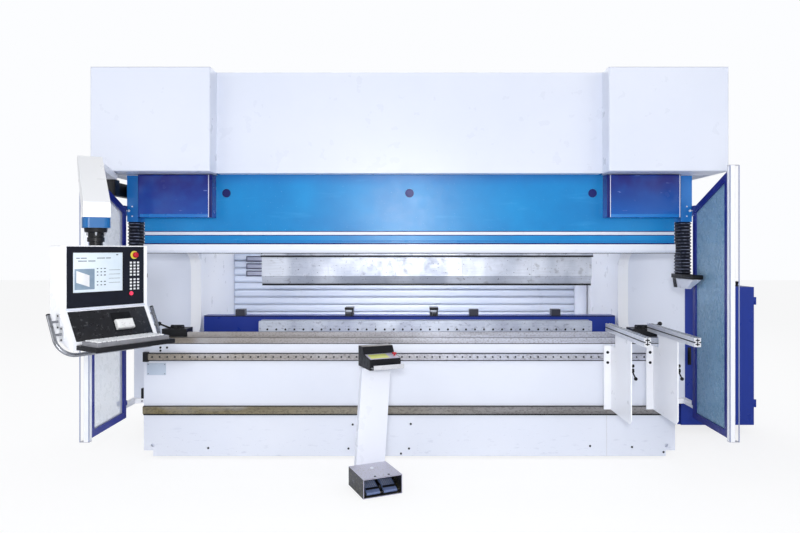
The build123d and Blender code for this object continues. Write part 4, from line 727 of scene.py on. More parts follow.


# Bed: bare type plate, screws, the apron's seam, the guide bar's edges with a painted shadow under the bar,
# the holes of rail and die with painted shade in the die's holes, and a painted shadow line under the table
# bar

def bed_details():
    proud = 0.0015
    plate_left, plate_right = -2.090, -1.938
    plate_low, plate_high = 0.665, 0.760
    corner = (plate_left, bed_front - proud, plate_low)
    plate = block("type_plate", corner, (plate_right, bed_front, plate_high), 0.0006)
    dress(plate, "frame", enamel("type_plate_enamel", "#c3cfdf", "#b8c5d8", "#8f9cb2", 0.74))
    margin = 0.010
    corners = [(x, bed_front - proud, z) for x in (plate_left + margin, plate_right - margin)
               for z in (plate_low + margin, plate_high - margin)]
    rivet_rings = [(0, 0.0035), (0.001, 0.0032), (0.0016, 0.0015)]
    rivet = turned("type_plate_rivets", (0, 0, 0), FRONT, rivet_rings, 12)
    dress(row_of(rivet, corners), "frame", dark_steel)
    places = [(-0.452, 0.271), (0.010, 0.275), (-0.486, 0.080), (-0.004, 0.080), (-0.068, 0.040),
              (1.437, 0.100), (1.771, 0.092), (2.022, 0.052), (-1.602, 0.084),
              (-1.982, 0.883), (-1.930, 0.883), (-1.982, 0.859)]
    head = screw("bed_screws", (0, 0, 0), FRONT, 0.0085, 0.003)
    dress(row_of(head, [(x, bed_front, z) for x, z in places]), "frame", dark_steel)
    guide_low, guide_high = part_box("lower_guide_bar")
    seam_x = 1.568
    seam_low = (seam_x, bed_front - 0.0006, bed_low.z + 0.002)
    seam = block("apron_seam", seam_low, (seam_x + 0.003, bed_front, guide_low.z), 0.0002, 1)
    dress(seam, "frame", grey_plastic)
    end = bed_high.x - 0.002
    # painted shadow: a black strip under the guide bar, with a thin dark line along its top edge
    shadow_gap_low = (-end, bed_front - 0.018, guide_low.z - 0.013)
    shadow_gap = block("guide_shadow_strip", shadow_gap_low, (end, bed_front, guide_low.z), 0.001)
    top_low = (-end, bed_front - 0.018, guide_high.z)
    top_line = block("top_line", top_low, (end, bed_front, guide_high.z + 0.004), 0.001)
    dress(joined("guide_edges", [shadow_gap, top_line]), "frame", black_paint)
    rail_low, rail_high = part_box("support_rail")
    rail_half = rail_high.x - 0.0402
    rail_front = bed_front - 0.025
    middle_z = (rail_low.z + rail_high.z) / 2
    rail_half_height = 0.031
    edges = []
    for low_z in (middle_z - rail_half_height, middle_z + rail_half_height - 0.007):
        corner = (-rail_half, rail_front - 0.0005, low_z)
        edges.append(block("edge", corner, (rail_half, rail_front + 0.003, low_z + 0.007), 0.0004, 1))
    dress(joined("rail_edges", edges), "frame", dark_steel)
    pitch = 0.060
    count = int(2 * rail_half / pitch)
    spots = [((index - (count - 1) / 2) * pitch, rail_front + 0.0075, middle_z) for index in range(count)]
    head = screw("rail_screws", (0, 0, 0), FRONT, 0.0070, 0.0055, 8)
    dress(row_of(head, spots), "frame", dark_steel)
    die_low, die_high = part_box("die")
    hole_pitch = 0.073
    count = int((die_high.x - die_low.x) / hole_pitch)
    first_x = (die_low.x + die_high.x - (count - 1) * hole_pitch) / 2
    hole_rise = 0.058
    # painted shade: black discs in the die's holes stand for the shade inside them
    shade_disc_rings = [(-0.004, 0.0085), (0, 0.0085), (0.0006, 0.0075), (0.0006, 0.003)]
    hole_shade_disc = turned("die_hole_shade_discs", (0, 0, 0), FRONT, shade_disc_rings, 12)
    spots = [(first_x + index * hole_pitch, die_low.y, die_low.z + hole_rise) for index in range(count)]
    dress(row_of(hole_shade_disc, spots), "frame", black_paint)
    # painted shadow: a dark line along the foot of the table bar, where it sits on the bed
    table_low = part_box("table_bar")[0]
    corner = (table_low.x, table_low.y - 0.001, table_low.z)
    line = block("table_shadow_line", corner, (-table_low.x, table_low.y + 0.004, table_low.z + 0.006), 0.0008)
    dress(line, "frame", dark_steel)


bed_details()


# Levers on the table's end units

def table_levers():
    low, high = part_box("table_end_clamps")
    stem = [(0, 0.010), (0.004, 0.012), (0.010, 0.008), (0.085, 0.007), (0.088, 0.015), (0.100, 0.018),
            (0.112, 0.015), (0.118, 0.006)]
    bolt_rings = [(0, 0.014), (0.012, 0.014), (0.016, 0.011), (0.016, 0.006)]
    top = low.z + 0.062
    lever_inset = 0.060
    bolt_insets = (0.160, 0.100)
    parts = []
    for side in (-1, 1):
        start = (side * (high.x - lever_inset), (low.y + high.y) / 2 - 0.03, top)
        way = Vector((side * 0.75, -0.25, 0.35)).normalized()
        parts.append(turned("lever", start, way, stem, 14))
        for inset in bolt_insets:
            spot = (side * (high.x - inset), low.y + 0.03, top)
            parts.append(turned("bolt", spot, UP, bolt_rings, 6))
    dress(joined("table_clamp_levers", parts), "frame", black_paint)


table_levers()


# Sheet supports: black bolt heads, the rails' slots and the levers' studs

def support_details():
    for name, body in (("inner", "inner_support"), ("outer", "outer_support")):
        bracket_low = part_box(name + "_support_bracket")[0]
        low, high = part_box(name + "_support_rail")
        bolt_x = bracket_low.x + 0.026
        bolt_front = bed_front - 0.0253 - 0.012 - 0.007
        heads = [screw("head", (bolt_x, bolt_front, z), FRONT, 0.0112, 0.004) for z in (0.7718, 0.8522)]
        dress(joined(name + "_support_bolts", heads), body, black_paint)
        slot_half = 0.004
        proud = 0.0004
        middle_x, middle_z = (low.x + high.x) / 2, (low.z + high.z) / 2
        slots = []
        for x in (low.x - proud, high.x - 0.002):
            corner = (x, low.y, middle_z - slot_half)
            slots.append(block("slot", corner, (x + 0.002 + proud, high.y, middle_z + slot_half), 0.0002, 1))
        for x in (middle_x - 0.011, middle_x + 0.011):
            corner = (x - slot_half, low.y, high.z - 0.002)
            slots.append(block("slot", corner, (x + slot_half, high.y, high.z + proud), 0.0002, 1))
        end_low = (middle_x - slot_half, low.y - proud, low.z + 0.008)
        slots.append(block("slot", end_low, (middle_x + slot_half, low.y + 0.002, high.z - 0.008), 0.0002, 1))
        for z in (middle_z - 0.018, middle_z + 0.010):
            end_low = (low.x + 0.008, low.y - proud, z)
            end_high = (high.x - 0.008, low.y + 0.002, z + 2 * slot_half)
            slots.append(block("slot", end_low, end_high, 0.0002, 1))
        dress(joined(name + "_support_slots", slots), body, dark_steel)
        knob = [(0, 0.010), (0.004, 0.012), (0.012, 0.012), (0.016, 0.009)]
        start = Vector(joints[name + "_lever_turn"]["pos_m"]) + Vector((-0.0003, 0, 0.034))
        dress(turned(name + "_support_stud", start, ACROSS, knob, 16), body, black_paint)


support_details()


# Guard doors: bolts on the hinge arms, a switch above each lower arm, edge strips and end caps

def hinge_details():
    arm_front = bed_front + 0.236
    for z, name in ((0.403, "right_lower"), (1.956, "right_upper")):
        heads = [screw("head", (x, arm_front, z), FRONT, 0.008, 0.005) for x in (2.145, 2.185, 2.225)]
        both_sides(joined(name + "_hinge_bolts", heads), machined)
    switch_low = (2.190, arm_front, 0.423)
    switch_high = (2.235, arm_front + 0.036, 0.508)
    both_sides(block("right_door_switch", switch_low, switch_high, 0.004), black_plastic)


def door_trim():
    low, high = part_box("right_door_frame")
    proud = 0.0008
    strip_width = 0.007
    inset = 0.004
    profile_depth = 0.040
    edges = []
    for x in (low.x - proud, high.x - strip_width + proud):
        corner = (x, low.y - proud, low.z + inset)
        edges.append(block("edge", corner, (x + strip_width, low.y + inset, high.z - inset), proud))
    profile_grey = enamel("profile_edge_enamel", "#98a0bd", "#8a92b2", "#636b8c")
    right_edges = dress(joined("right_door_edges", edges), "right_door", profile_grey)
    caps = []
    for z in (low.z - proud, high.z - inset):
        corner = (low.x - 2 * proud, low.y - 2 * proud, z)
        cap_high = (high.x + 2 * proud, low.y + profile_depth, z + inset + proud)
        caps.append(block("cap", corner, cap_high, 0.0015))
    right_caps = dress(joined("right_door_caps", caps), "right_door", grey_plastic)
    dress(mirror_of(right_edges, "left_door_edges"), "left_door", profile_grey)
    dress(mirror_of(right_caps, "left_door_caps"), "left_door", grey_plastic)


hinge_details()
door_trim()


# Console pieces, made in the console's own frame: x along the panel, y away from the operator

swivel = joints["console_swivel"]["pos_m"]
press_way = joints["console_stop_press"]["axis"]
console_yaw = atan2(-press_way[0], press_way[1])
console_place = Matrix.Translation((swivel[0], swivel[1], 0)) @ Matrix.Rotation(console_yaw, 4, "Z")
panel_face = -0.064
panel_left, panel_right = -0.202, 0.262
screen_left, screen_right = -0.169, 0.125
screen_low, screen_high = 1.425, 1.645
knee_y, knee_z = -0.060, 1.332
lip_y, lip_z = -0.158, 1.165

# Emergency stop: a mushroom head on a stem, as rings of (distance, radius)
mushroom_rings = [(-0.010, 0.0078), (0.012, 0.0078), (0.012, 0.0162), (0.014, 0.0172), (0.019, 0.0172),
                  (0.024, 0.0142), (0.026, 0.0085), (0.0265, 0.003)]


def on_panel(name, left, low, right, high, thick, lift=0.0, edge=0.0):
    """A thin plate on the panel, thick towards the operator."""
    front = panel_face - lift - thick
    return block(name, (left, front, low), (right, front + thick, high), edge)


def console_screen():
    sunk = -0.0018
    glass = on_panel("screen_glass", screen_left, screen_low, screen_right, screen_high, 0.0008, sunk, 0.0003)
    dress(glass, "console", lit_screen("lit_display"), console_place)
    lift = sunk + 0.0008
    flat, edge = 0.0003, 0.0001
    picture = on_panel("screen_picture", -0.160, 1.440, -0.045, 1.555, flat, lift, edge)
    grey = moulded_plastic("screen_grey", "#8fa3b5", "#7d93a8", None, (0.1, 0.2))
    dress(picture, "console", grey, console_place)
    sheet_left, sheet_fall = -0.150, 0.35
    sheet = on_panel("screen_sheet", sheet_left, 1.480, -0.075, 1.545, flat, lift + flat, edge)
    for vertex in sheet.data.vertices:
        vertex.co.z -= (vertex.co.x - sheet_left) * sheet_fall
    dress(sheet, "console", key_white, console_place)
    areas = [
        (-0.140, 1.596, -0.090, 1.601),
        (-0.082, 1.596, -0.040, 1.601),
        (0.085, 1.630, 0.098, 1.636),
    ]
    for row in range(5):
        row_z = 1.552 - row * 0.0185 - (0.018 if row > 2 else 0)
        for left, width in ((-0.032, 0.009), (-0.010, 0.009), (0.010, 0.012)):
            areas.append((left, row_z, left + width, row_z + 0.006))
    for left, width in ((-0.150, 0.020), (-0.125, 0.034), (-0.030, 0.046), (0.022, 0.030)):
        areas.append((left, 1.612, left + width, 1.617))
    for row in range(4):
        row_z = 1.545 - row * 0.024
        areas.append((0.040, row_z, 0.110, row_z + 0.002))
    marks = [on_panel("mark", *area, flat, lift, edge) for area in areas]
    slate = moulded_plastic("screen_slate", "#66727f", "#5a6672", None, (0.1, 0.2))
    dress(joined("screen_marks", marks), "console", slate, console_place)
    frame_edge = 0.006
    rim_left, rim_right = screen_left - frame_edge, screen_right + frame_edge
    bars = [
        (rim_left, screen_high, rim_right, screen_high + frame_edge),
        (rim_left, screen_low - frame_edge, rim_right, screen_low),
        (rim_left, screen_low, screen_left, screen_high),
        (screen_right, screen_low, rim_right, screen_high),
    ]
    rim = [on_panel("rim", *bar, 0.0015, 0, 0.0006) for bar in bars]
    dress(joined("screen_rim", rim), "console", black_plastic, console_place)


def console_keys():
    key = on_panel("panel_keys", -0.0065, -0.0055, 0.0065, 0.0055, 0.003, 0, 0.001)
    columns = (0.177, 0.2005, 0.224)
    rows = [1.586 - 0.018 * index for index in range(5)] + [1.487 - 0.0184 * index for index in range(4)]
    places = [(x, 0, z) for z in rows for x in columns]
    dress(row_of(key, places), "console", key_white, console_place)
    disc_rings = [(0, 0.024), (0.002, 0.024), (0.003, 0.0225), (0.003, 0.010)]
    stop_start = (0.199, panel_face, 1.631)
    button_start = (0.178, panel_face, 1.405)
    disc = turned("stop_disc", stop_start, FRONT, disc_rings, 32)
    dress(disc, "console", yellow_plastic, console_place)
    collar_rings = [(0, 0.0165), (0.003, 0.0165), (0.004, 0.0155), (0.004, 0.0130), (0.0005, 0.0126)]
    collar = turned("button_collar", button_start, FRONT, collar_rings, 28)
    dress(collar, "console", black_plastic, console_place)
    stop = turned("stop_mushroom", stop_start, FRONT, mushroom_rings, 28)
    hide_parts("console_stop")
    dress(stop, "console_stop", red_plastic, console_place)
    cap_rings = [(-0.003, 0.0118), (0.006, 0.0118), (0.0078, 0.0105), (0.008, 0.0085), (0.007, 0.0075),
                 (0.007, 0.002)]
    cap = turned("button_cap", button_start, FRONT, cap_rings, 28)
    glow, tree, shader, place = new_finish("lit_red_lens", ior=1.5, roughness=0.2, emission_strength=0.6)
    tone = laid_over(tree, "#f0486a", "#d8203f", patches(tree, place, 0.01, 0.3, 0.7))
    tree.links.new(tone, shader.inputs["Emission Color"])
    connect(tree, shader, tone)
    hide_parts("console_button")
    dress(cap, "console_button", glow, console_place)


def console_desk():
    overhang = 0.004
    ledge_low = (panel_left - overhang, knee_y - 0.012, knee_z - 0.002)
    ledge = block("panel_ledge", ledge_low, (panel_right + overhang, knee_y, knee_z + 0.009), 0.003)
    dress(ledge, "console", sheet_white, console_place)
    slope = atan2(knee_z - lip_z, knee_y - lip_y)
    length = ((knee_z - lip_z) ** 2 + (knee_y - lip_y) ** 2) ** 0.5
    slope_place = Matrix.Translation((0, lip_y, lip_z)) @ Matrix.Rotation(slope, 4, "X")
    mat = block("desk_mat", (panel_left, 0.004, 0), (panel_right, length - 0.012, 0.003), 0.001)
    scuffed = moulded_plastic("scuffed_desk_mat", "#0f1016", "#17181f", "#7d8084", (0.25, 0.45), 0.35)
    dress(mat, "console", scuffed, console_place @ slope_place)
    pad = block("mouse_pad", (0.035, length * 0.20, 0.003), (0.155, length * 0.80, 0.005), 0.001)
    dress(pad, "console", rubber, console_place @ slope_place)
    ridge = block("mouse_wheel", (0.060, length * 0.385, 0.030), (0.075, length * 0.395, 0.0335), 0.001)
    dress(ridge, "console", grey_plastic, console_place @ slope_place)


def keyboard():
    board_depth, tray_depth = 0.1735, 0.197
    top = 1.172
    pitch, row_pitch = 0.0268, 0.0265
    rows, columns = 5, 15
    bar_first, bar_last = 4, 9
    stagger = 0.004
    left = -0.177
    first_y = lip_y - board_depth + 0.010
    key = block("keyboard_keys", (0, 0, top), (0.0200, 0.0180, top + 0.007), 0.002)
    places = []
    for row in range(rows):
        for column in range(columns):
            if row == 0 and bar_first <= column <= bar_last:
                continue
            shift = stagger if row % 2 else 0
            places.append((left + column * pitch + shift, first_y + row * row_pitch, 0))
    dress(row_of(key, places), "console", key_white, console_place)
    bar_high = (left + (bar_last + 0.85) * pitch, first_y + 0.0205, top + 0.006)
    bar = block("keyboard_space_bar", (left + bar_first * pitch, first_y, top), bar_high, 0.002)
    dress(bar, "console", key_white, console_place)
    tray_low = lip_y - tray_depth
    overhang = 0.006
    front_low = (panel_left - overhang, tray_low - 0.004, 1.125)
    front_high = (panel_right + overhang, tray_low + 0.010, 1.151)
    front_bar = block("tray_front_bar", front_low, front_high, 0.004, 3)
    dress(front_bar, "console", black_plastic, console_place)


def rail_brackets():
    pieces = []
    screws = []
    top = Vector((0, -0.020, 1.310))
    run = Vector((0, -0.130, 1.095)) - top
    half_depth, half_height = 0.022, 0.042
    left_plate = (-0.2375, -0.2318, -0.2375, -ACROSS)
    right_plate = (0.2918, 0.2975, 0.2975, ACROSS)
    for x_low, x_high, screw_x, way in (left_plate, right_plate):
        for share in (0.17, 0.48):
            spot = top + run * share
            plate_low = (x_low, spot.y - half_depth, spot.z - half_height)
            plate_high = (x_high, spot.y + half_depth, spot.z + half_height)
            pieces.append(block("plate", plate_low, plate_high, 0.0015))
            for rise in (-0.031, 0.031):
                screws.append(screw("head", (screw_x, spot.y, spot.z + rise), way, 0.005, 0.003))
    dress(joined("hand_rail_plates", pieces), "console", aluminium, console_place)
    dress(joined("hand_rail_screws", screws), "console", black_paint, console_place)
    caps = []
    way = -run.normalized()
    cap_rings = [(-0.002, 0.0112), (0.004, 0.0112), (0.006, 0.009), (0.0065, 0.003)]
    for x in (-0.280, 0.345):
        caps.append(turned("cap", (x, top.y, top.z), way, cap_rings, 20))
    dress(joined("hand_rail_caps", caps), "console", black_plastic, console_place)


console_screen()
console_keys()
console_desk()
keyboard()
rail_brackets()


# Swing arm and yoke: the pivot's cap and the swivel under the arm's collar

def arm_details():
    pivot = Vector(joints["arm_swing"]["pos_m"])
    arm_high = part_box("swing_arm")[1].z
    cap_rings = [(0, 0.043), (0.008, 0.043), (0.014, 0.039), (0.016, 0.030), (0.016, 0.006)]
    cap = turned("arm_pivot_cap", (pivot.x, pivot.y, arm_high), UP, cap_rings, 32)
    dress(cap, "swing_arm", black_plastic)
    yoke_low, yoke_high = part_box("console_yoke")
    height = yoke_high.z - yoke_low.z
    rings = [(0, 0.036), (0.020, 0.036), (0.023, 0.046), (0.046, 0.046), (0.049, 0.041), (0.072, 0.043),
             (0.076, 0.058), (0.082, 0.060), (height - 0.006, 0.066), (height, 0.062)]
    yoke = turned("swivel_yoke", (0, 0, yoke_low.z), UP, rings, 40)
    dress(yoke, "console", black_paint, console_place)
    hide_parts("console_yoke")
    bolts = []
    for index in range(6):
        turn = index * pi / 3
        spot = (0.052 * cos(turn), 0.052 * sin(turn), yoke_low.z + 0.058)
        bolts.append(turned("bolt", spot, UP, [(0, 0.005), (0.015, 0.006), (0.018, 0.006)], 10))
    dress(joined("yoke_bolts", bolts), "console", machined, console_place)


arm_details()


# Pedal stand, made in its own frame, with its origin under the middle of the pedal box

pedal_pin = Vector(joints["left_pedal_press"]["pos_m"])
pedal_way = joints["left_pedal_press"]["axis"]
stand_yaw = atan2(-pedal_way[1], -pedal_way[0])
pin_setback = 0.125
stand_turn = Matrix.Rotation(stand_yaw, 4, "Z")
stand_middle = pedal_pin - stand_turn @ Vector((0, -pin_setback, pedal_pin.z))
stand_place = Matrix.Translation(stand_middle) @ stand_turn
pedal_tilt = radians(20)


def stand_details():
    top = 0.130
    bolt_rings = [(0, 0.013), (0.004, 0.012), (0.007, 0.008), (0.008, 0.003)]
    bolt = turned("pedal_box_bolt", (-0.005, 0.05, top), UP, bolt_rings, 24)
    dress(bolt, "frame", white, stand_place)
    head = screw("pedal_box_screws", (0, 0, 0), UP, 0.008, 0.003)
    spots = [(x, -0.118, top) for x in (-0.045, 0.055)]
    dress(row_of(head, spots), "frame", dark_steel, stand_place)
    wall = block("pedal_divider", (-0.009, -0.100, 0.006), (0.009, 0.145, 0.060), 0.004)
    dress(wall, "frame", black_paint, stand_place)
    for body, side in (("left_pedal", -1), ("right_pedal", 1)):
        pin = Matrix.Translation((side * 0.062, -pin_setback, pedal_pin.z))
        place = stand_place @ pin @ Matrix.Rotation(pedal_tilt, 4, "X")
        stud = turned("tread", (0, 0, 0.011), UP, [(0, 0.0042), (0.0012, 0.0036), (0.0018, 0.0018)], 8)
        spots = [(-0.034 + 0.0136 * i, 0.055 + 0.0136 * j, 0) for i in range(6) for j in range(9)]
        tread = row_of(stud, spots)
        tread.name = body + "_tread"
        dress(tread, body, machined, place)
        bar = block(body + "_heel_bar", (-0.045, 0.022, 0.011), (0.045, 0.040, 0.018), 0.003)
        dress(bar, body, black_paint, place)
    rim = 0.005
    half_x, front_y = 0.141, -0.152
    bars = [
        ((-half_x, front_y - 0.001, 0.125), (half_x, front_y + rim, 0.130)),
        ((-half_x, front_y - 0.001, 0.0), (half_x, front_y + rim, rim)),
        ((-half_x, front_y - 0.001, 0.0), (rim - half_x, front_y + rim, 0.130)),
        ((half_x - rim, front_y - 0.001, 0.0), (half_x, front_y + rim, 0.130)),
    ]
    edge = joined("pedal_box_rim", [block("bar", low, high, 0.001, 1) for low, high in bars])
    lilac = enamel("lilac_enamel", "#b9b8cc", "#a9a8bd", "#5b5a66", 0.66)
    dress(edge, "frame", lilac, stand_place)


def operator_details():
    left, right = -0.022, 0.214
    front, cover_front, back = 0.040, 0.165, 0.285
    deck_front, deck_back = 0.890, 0.910
    cover_back_slope = 0.032
    cover_top = 0.960
    slope = atan2(deck_back - deck_front, cover_front - front)
    length = (cover_front - front) / cos(slope)
    deck_place = stand_place @ Matrix.Translation((left, front, deck_front)) @ Matrix.Rotation(slope, 4, "X")
    width = right - left
    deck = block("operator_deck", (0.006, 0.006, 0), (width - 0.006, length - 0.004, 0.0015), 0.0006)
    deck_paint = enamel("deck_enamel", "#cfc9da", "#c4bed0", "#7d7886", 0.7)
    dress(deck, "frame", deck_paint, deck_place)
    field = block("operator_field", (0.020, 0.022, 0.0015), (width - 0.078, length - 0.020, 0.003), 0.0006)
    pale = moulded_plastic("yellow_green_plastic", "#e6ea86", "#dce074", "#b4b866", (0.35, 0.5))
    dress(field, "frame", pale, deck_place)
    lid_low = (left + 0.004, cover_front + cover_back_slope + 0.003, cover_top - 0.0005)
    lid = block("operator_lid", lid_low, (right - 0.004, back - 0.004, cover_top + 0.002), 0.001)
    lid_paint = enamel("brown_grey_enamel", "#77706c", "#655e5a", "#2d2a28", 0.66)
    dress(lid, "frame", lid_paint, stand_place)
    rise = (deck_back - deck_front) * (0.100 - front) / (cover_front - front)
    stop = (right - 0.026, 0.100, deck_front + rise)
    cap = turned("stand_mushroom", stop, UP, mushroom_rings, 28)
    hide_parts("stand_stop")
    dress(cap, "stand_stop", red_plastic, stand_place)
    flap_front, flap_low, flap_lip = front - 0.062, 0.827, 0.030
    skin_low = (left + 0.005, flap_front - 0.0006, flap_low + 0.0055)
    skin = block("operator_flap_skin", skin_low, (right - 0.005, front - 0.001, flap_low + 0.0075), 0.0006)
    lip_low = (left + 0.0045, flap_front - 0.0008, flap_low)
    lip = block("lip", lip_low, (right - 0.0045, flap_front + 0.007, flap_low + flap_lip + 0.0006), 0.0012)
    dress(joined("operator_flap_skin", [skin, lip]), "frame", grey_plastic, stand_place)


stand_details()
operator_details()


# Cabinet: the door's handle and the fitting on its top

def cabinet_details():
    low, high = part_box("cabinet_door")
    front = low.y
    handle_x = low.x + 0.075
    handle_z = (low.z + high.z) / 2
    plate_half, plate_half_height = 0.016, 0.080
    plate_low = (handle_x - plate_half, front - 0.004, handle_z - plate_half_height)
    plate_high = (handle_x + plate_half, front, handle_z + plate_half_height)
    plate = block("cabinet_handle_plate", plate_low, plate_high, 0.002)
    grip_half = 0.010
    grip_low = (handle_x - grip_half, front - 0.020, handle_z - 0.070)
    grip_high = (handle_x + grip_half, front - 0.010, handle_z + 0.045)
    grip = block("cabinet_handle_grip", grip_low, grip_high, 0.004, 3)
    neck_start = (handle_x, front - 0.003, handle_z + 0.030)
    neck_rings = [(0, 0.009), (0.009, 0.008), (0.010, 0.007)]
    neck = turned("cabinet_handle_neck", neck_start, FRONT, neck_rings, 20)
    dress(joined("cabinet_handle", [plate, grip, neck]), "cabinet_door", black_plastic)
    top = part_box("cabinet")[1].z
    rings = [(0, 0.020), (0.005, 0.020), (0.007, 0.012), (0.022, 0.011), (0.024, 0.017), (0.036, 0.019),
             (0.042, 0.015), (0.045, 0.006)]
    knob = turned("cabinet_top_fitting", (3.035, bed_front + 0.86, top), UP, rings, 24)
    dress(knob, "frame", black_plastic)


cabinet_details()


# Behind and on the covers: motor, tank, cylinder bolts, slats, stop fingers, screws, seams and louvres

cylinder_x = 1.885
cover_screw = (0.008, 0.004)


def rear_details():
    tie_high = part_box("frame_ties")[1].z
    motor_y = bed_front + 0.540
    motor_z = tie_high + 0.129
    fin_start, fin_pitch = 0.705, 0.020
    ring = [(0, 0.1055), (0.0005, 0.118), (0.0065, 0.118), (0.007, 0.1055)]
    fins = []
    for index in range(14):
        fins.append(turned("fin", (fin_start + index * fin_pitch, motor_y, motor_z), ACROSS, ring, 36))
    motor_paint = enamel("motor_enamel", "#6c7279", "#5d636a", "#2a2c2f", 0.66)
    dress(joined("motor_fins", fins), "frame", motor_paint)
    hood_rings = [(0, 0.1056), (0.002, 0.116), (0.085, 0.116), (0.100, 0.105), (0.100, 0.060), (0.092, 0.058),
                  (0.092, 0.012)]
    hood = turned("motor_fan_hood", (1.000, motor_y, motor_z), ACROSS, hood_rings, 36)
    dress(hood, "frame", black_paint)
    tank_top = tie_high + 0.260
    lid_top = tank_top + 0.010
    lid_low = (-0.42, bed_front + 0.50, tank_top)
    lid = block("tank_lid", lid_low, (0.40, bed_front + 0.82, lid_top), 0.003)
    dress(lid, "frame", royal)
    filler_rings = [(0, 0.035), (0.004, 0.036), (0.020, 0.036), (0.026, 0.032), (0.026, 0.012)]
    filler = turned("tank_filler", (-0.30, bed_front + 0.66, lid_top), UP, filler_rings, 28)
    dress(filler, "frame", black_plastic)
    cylinder_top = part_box("hydraulic_cylinders")[1].z
    nut = [(0, 0.020), (0.012, 0.020), (0.014, 0.017), (0.014, 0.006)]
    bolt_offset = 0.095
    bolts = []
    for side in (-1, 1):
        for x in (cylinder_x - bolt_offset, cylinder_x + bolt_offset):
            for y in (bed_front + 0.070, bed_front + 0.200):
                bolts.append(turned("bolt", (side * x, y, cylinder_top), UP, nut, 6))
    dress(joined("cylinder_bolts", bolts), "frame", machined)


def rear_slats():
    pitch = 0.076
    count = 16
    first_z = 0.408
    rib_front = bed_front + 1.660
    half_width = 1.837
    low = (-half_width, rib_front - 0.014, first_z + 0.006)
    slat = block("rear_slats", low, (half_width, rib_front + 0.003, first_z + pitch - 0.004), 0.0165, 5)
    slats = row_of(slat, [(0, 0, index * pitch) for index in range(count)])
    dress(slats, "frame", enamel("slat_enamel", "#e6ebf7", "#dbe3f3", "#a8b2c9", 0.8))
    holder_left, holder_right = -1.708, -1.530
    half_height, border = 0.030, 0.012
    frames, cores = [], []
    for middle_z in (1.567, 1.491, 1.415):
        corner = (holder_left, rib_front - 0.026, middle_z - half_height)
        frame_high = (holder_right, rib_front - 0.012, middle_z + half_height)
        frames.append(block("holder", corner, frame_high, 0.004))
        corner = (holder_left + border, rib_front - 0.028, middle_z - half_height + border)
        core_high = (holder_right - border, rib_front - 0.014, middle_z + half_height - border)
        cores.append(block("core", corner, core_high, 0.003))
    slate_paint = enamel("slate_enamel", "#5c5e72", "#4f5165", "#3a3b4a")
    dress(joined("guard_end_frames", frames), "frame", slate_paint)
    grey_paint = enamel("grey_enamel", "#b4b6c6", "#a4a6b8", "#7d8092")
    dress(joined("guard_end_cores", cores), "frame", grey_paint)


def finger_plates():
    tip_length = 0.090
    for body in ("left_finger", "right_finger"):
        low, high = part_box(body)
        front = low.y + tip_length
        plate_low = (low.x + 0.004, front - 0.004, low.z + 0.030)
        plate = block(body + "_plate", plate_low, (high.x - 0.012, front, high.z - 0.016), 0.0015)
        dress(plate, body, tool_steel)
        cap_low = (low.x - 0.003, front - 0.006, high.z - 0.014)
        cap = block(body + "_cap", cap_low, (high.x + 0.003, high.y, high.z + 0.006), 0.004, 3)
        dress(cap, body, black_paint)


def side_cover_details():
    low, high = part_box("right_side_cover")
    inset = 0.036
    seam_y = (low.y + high.y) / 2
    seam_width, seam_proud = 0.005, 0.0008
    corner = (high.x - seam_width, seam_y, low.z + inset / 2)
    seam_high = (high.x + seam_proud, seam_y + seam_width, high.z - inset / 2)
    both_sides(block("right_cover_seam", corner, seam_high, seam_proud / 2, 1), dark_steel)
    louvre_height, louvre_proud = 0.022, 0.007
    corner = (high.x - louvre_proud, seam_y + 0.10, high.z - 0.52)
    louvre_high = (high.x + louvre_proud, high.y - 0.12, corner[2] + louvre_height)
    louvre = block("right_cover_louvres", corner, louvre_high, louvre_proud * 0.9, 4)
    louvres = row_of(louvre, [(0, 0, index * 2 * louvre_height) for index in range(8)])
    both_sides(louvres, sheet_white)
    columns = (low.y + inset, seam_y - inset, seam_y + inset, high.y - inset)
    rows = (1.45, high.z - inset)
    heads = [screw("head", (high.x, y, z), ACROSS, *cover_screw) for y in columns for z in rows]
    for x in (low.x + inset, high.x - inset):
        for z in (low.z + inset, 1.28, high.z - inset):
            heads.append(screw("head", (x, high.y, z), -FRONT, *cover_screw))
    both_sides(joined("right_cover_screws", heads), machined)
    latch_rings = [(0, 0.017), (0.003, 0.017), (0.005, 0.015), (0.005, 0.010), (0.003, 0.009), (0.003, 0.002)]
    latches = [turned("latch", (high.x, seam_y - 0.05, z), ACROSS, latch_rings) for z in (1.55, 2.05)]
    both_sides(joined("right_cover_latches", latches), black_plastic)


def head_cover_details():
    low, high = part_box("right_head_cover")
    inset = 0.045
    heads = []
    for y in (low.y + inset, (low.y + high.y) / 2, high.y - inset):
        for z in (low.z + inset, high.z - inset):
            heads.append(screw("head", (high.x, y, z), ACROSS, *cover_screw))
        for x in (low.x + inset, high.x - inset):
            heads.append(screw("head", (x, y, high.z), UP, *cover_screw))
    both_sides(joined("right_head_cover_screws", heads), machined)
    plug_rings = [(0, 0.034), (0.006, 0.034), (0.010, 0.026), (0.010, 0.016), (0.004, 0.014), (0.004, 0.004)]
    plug = turned("right_lifting_plug", (cylinder_x, low.y + 0.50, high.z), UP, plug_rings, 28)
    both_sides(plug, black_plastic)


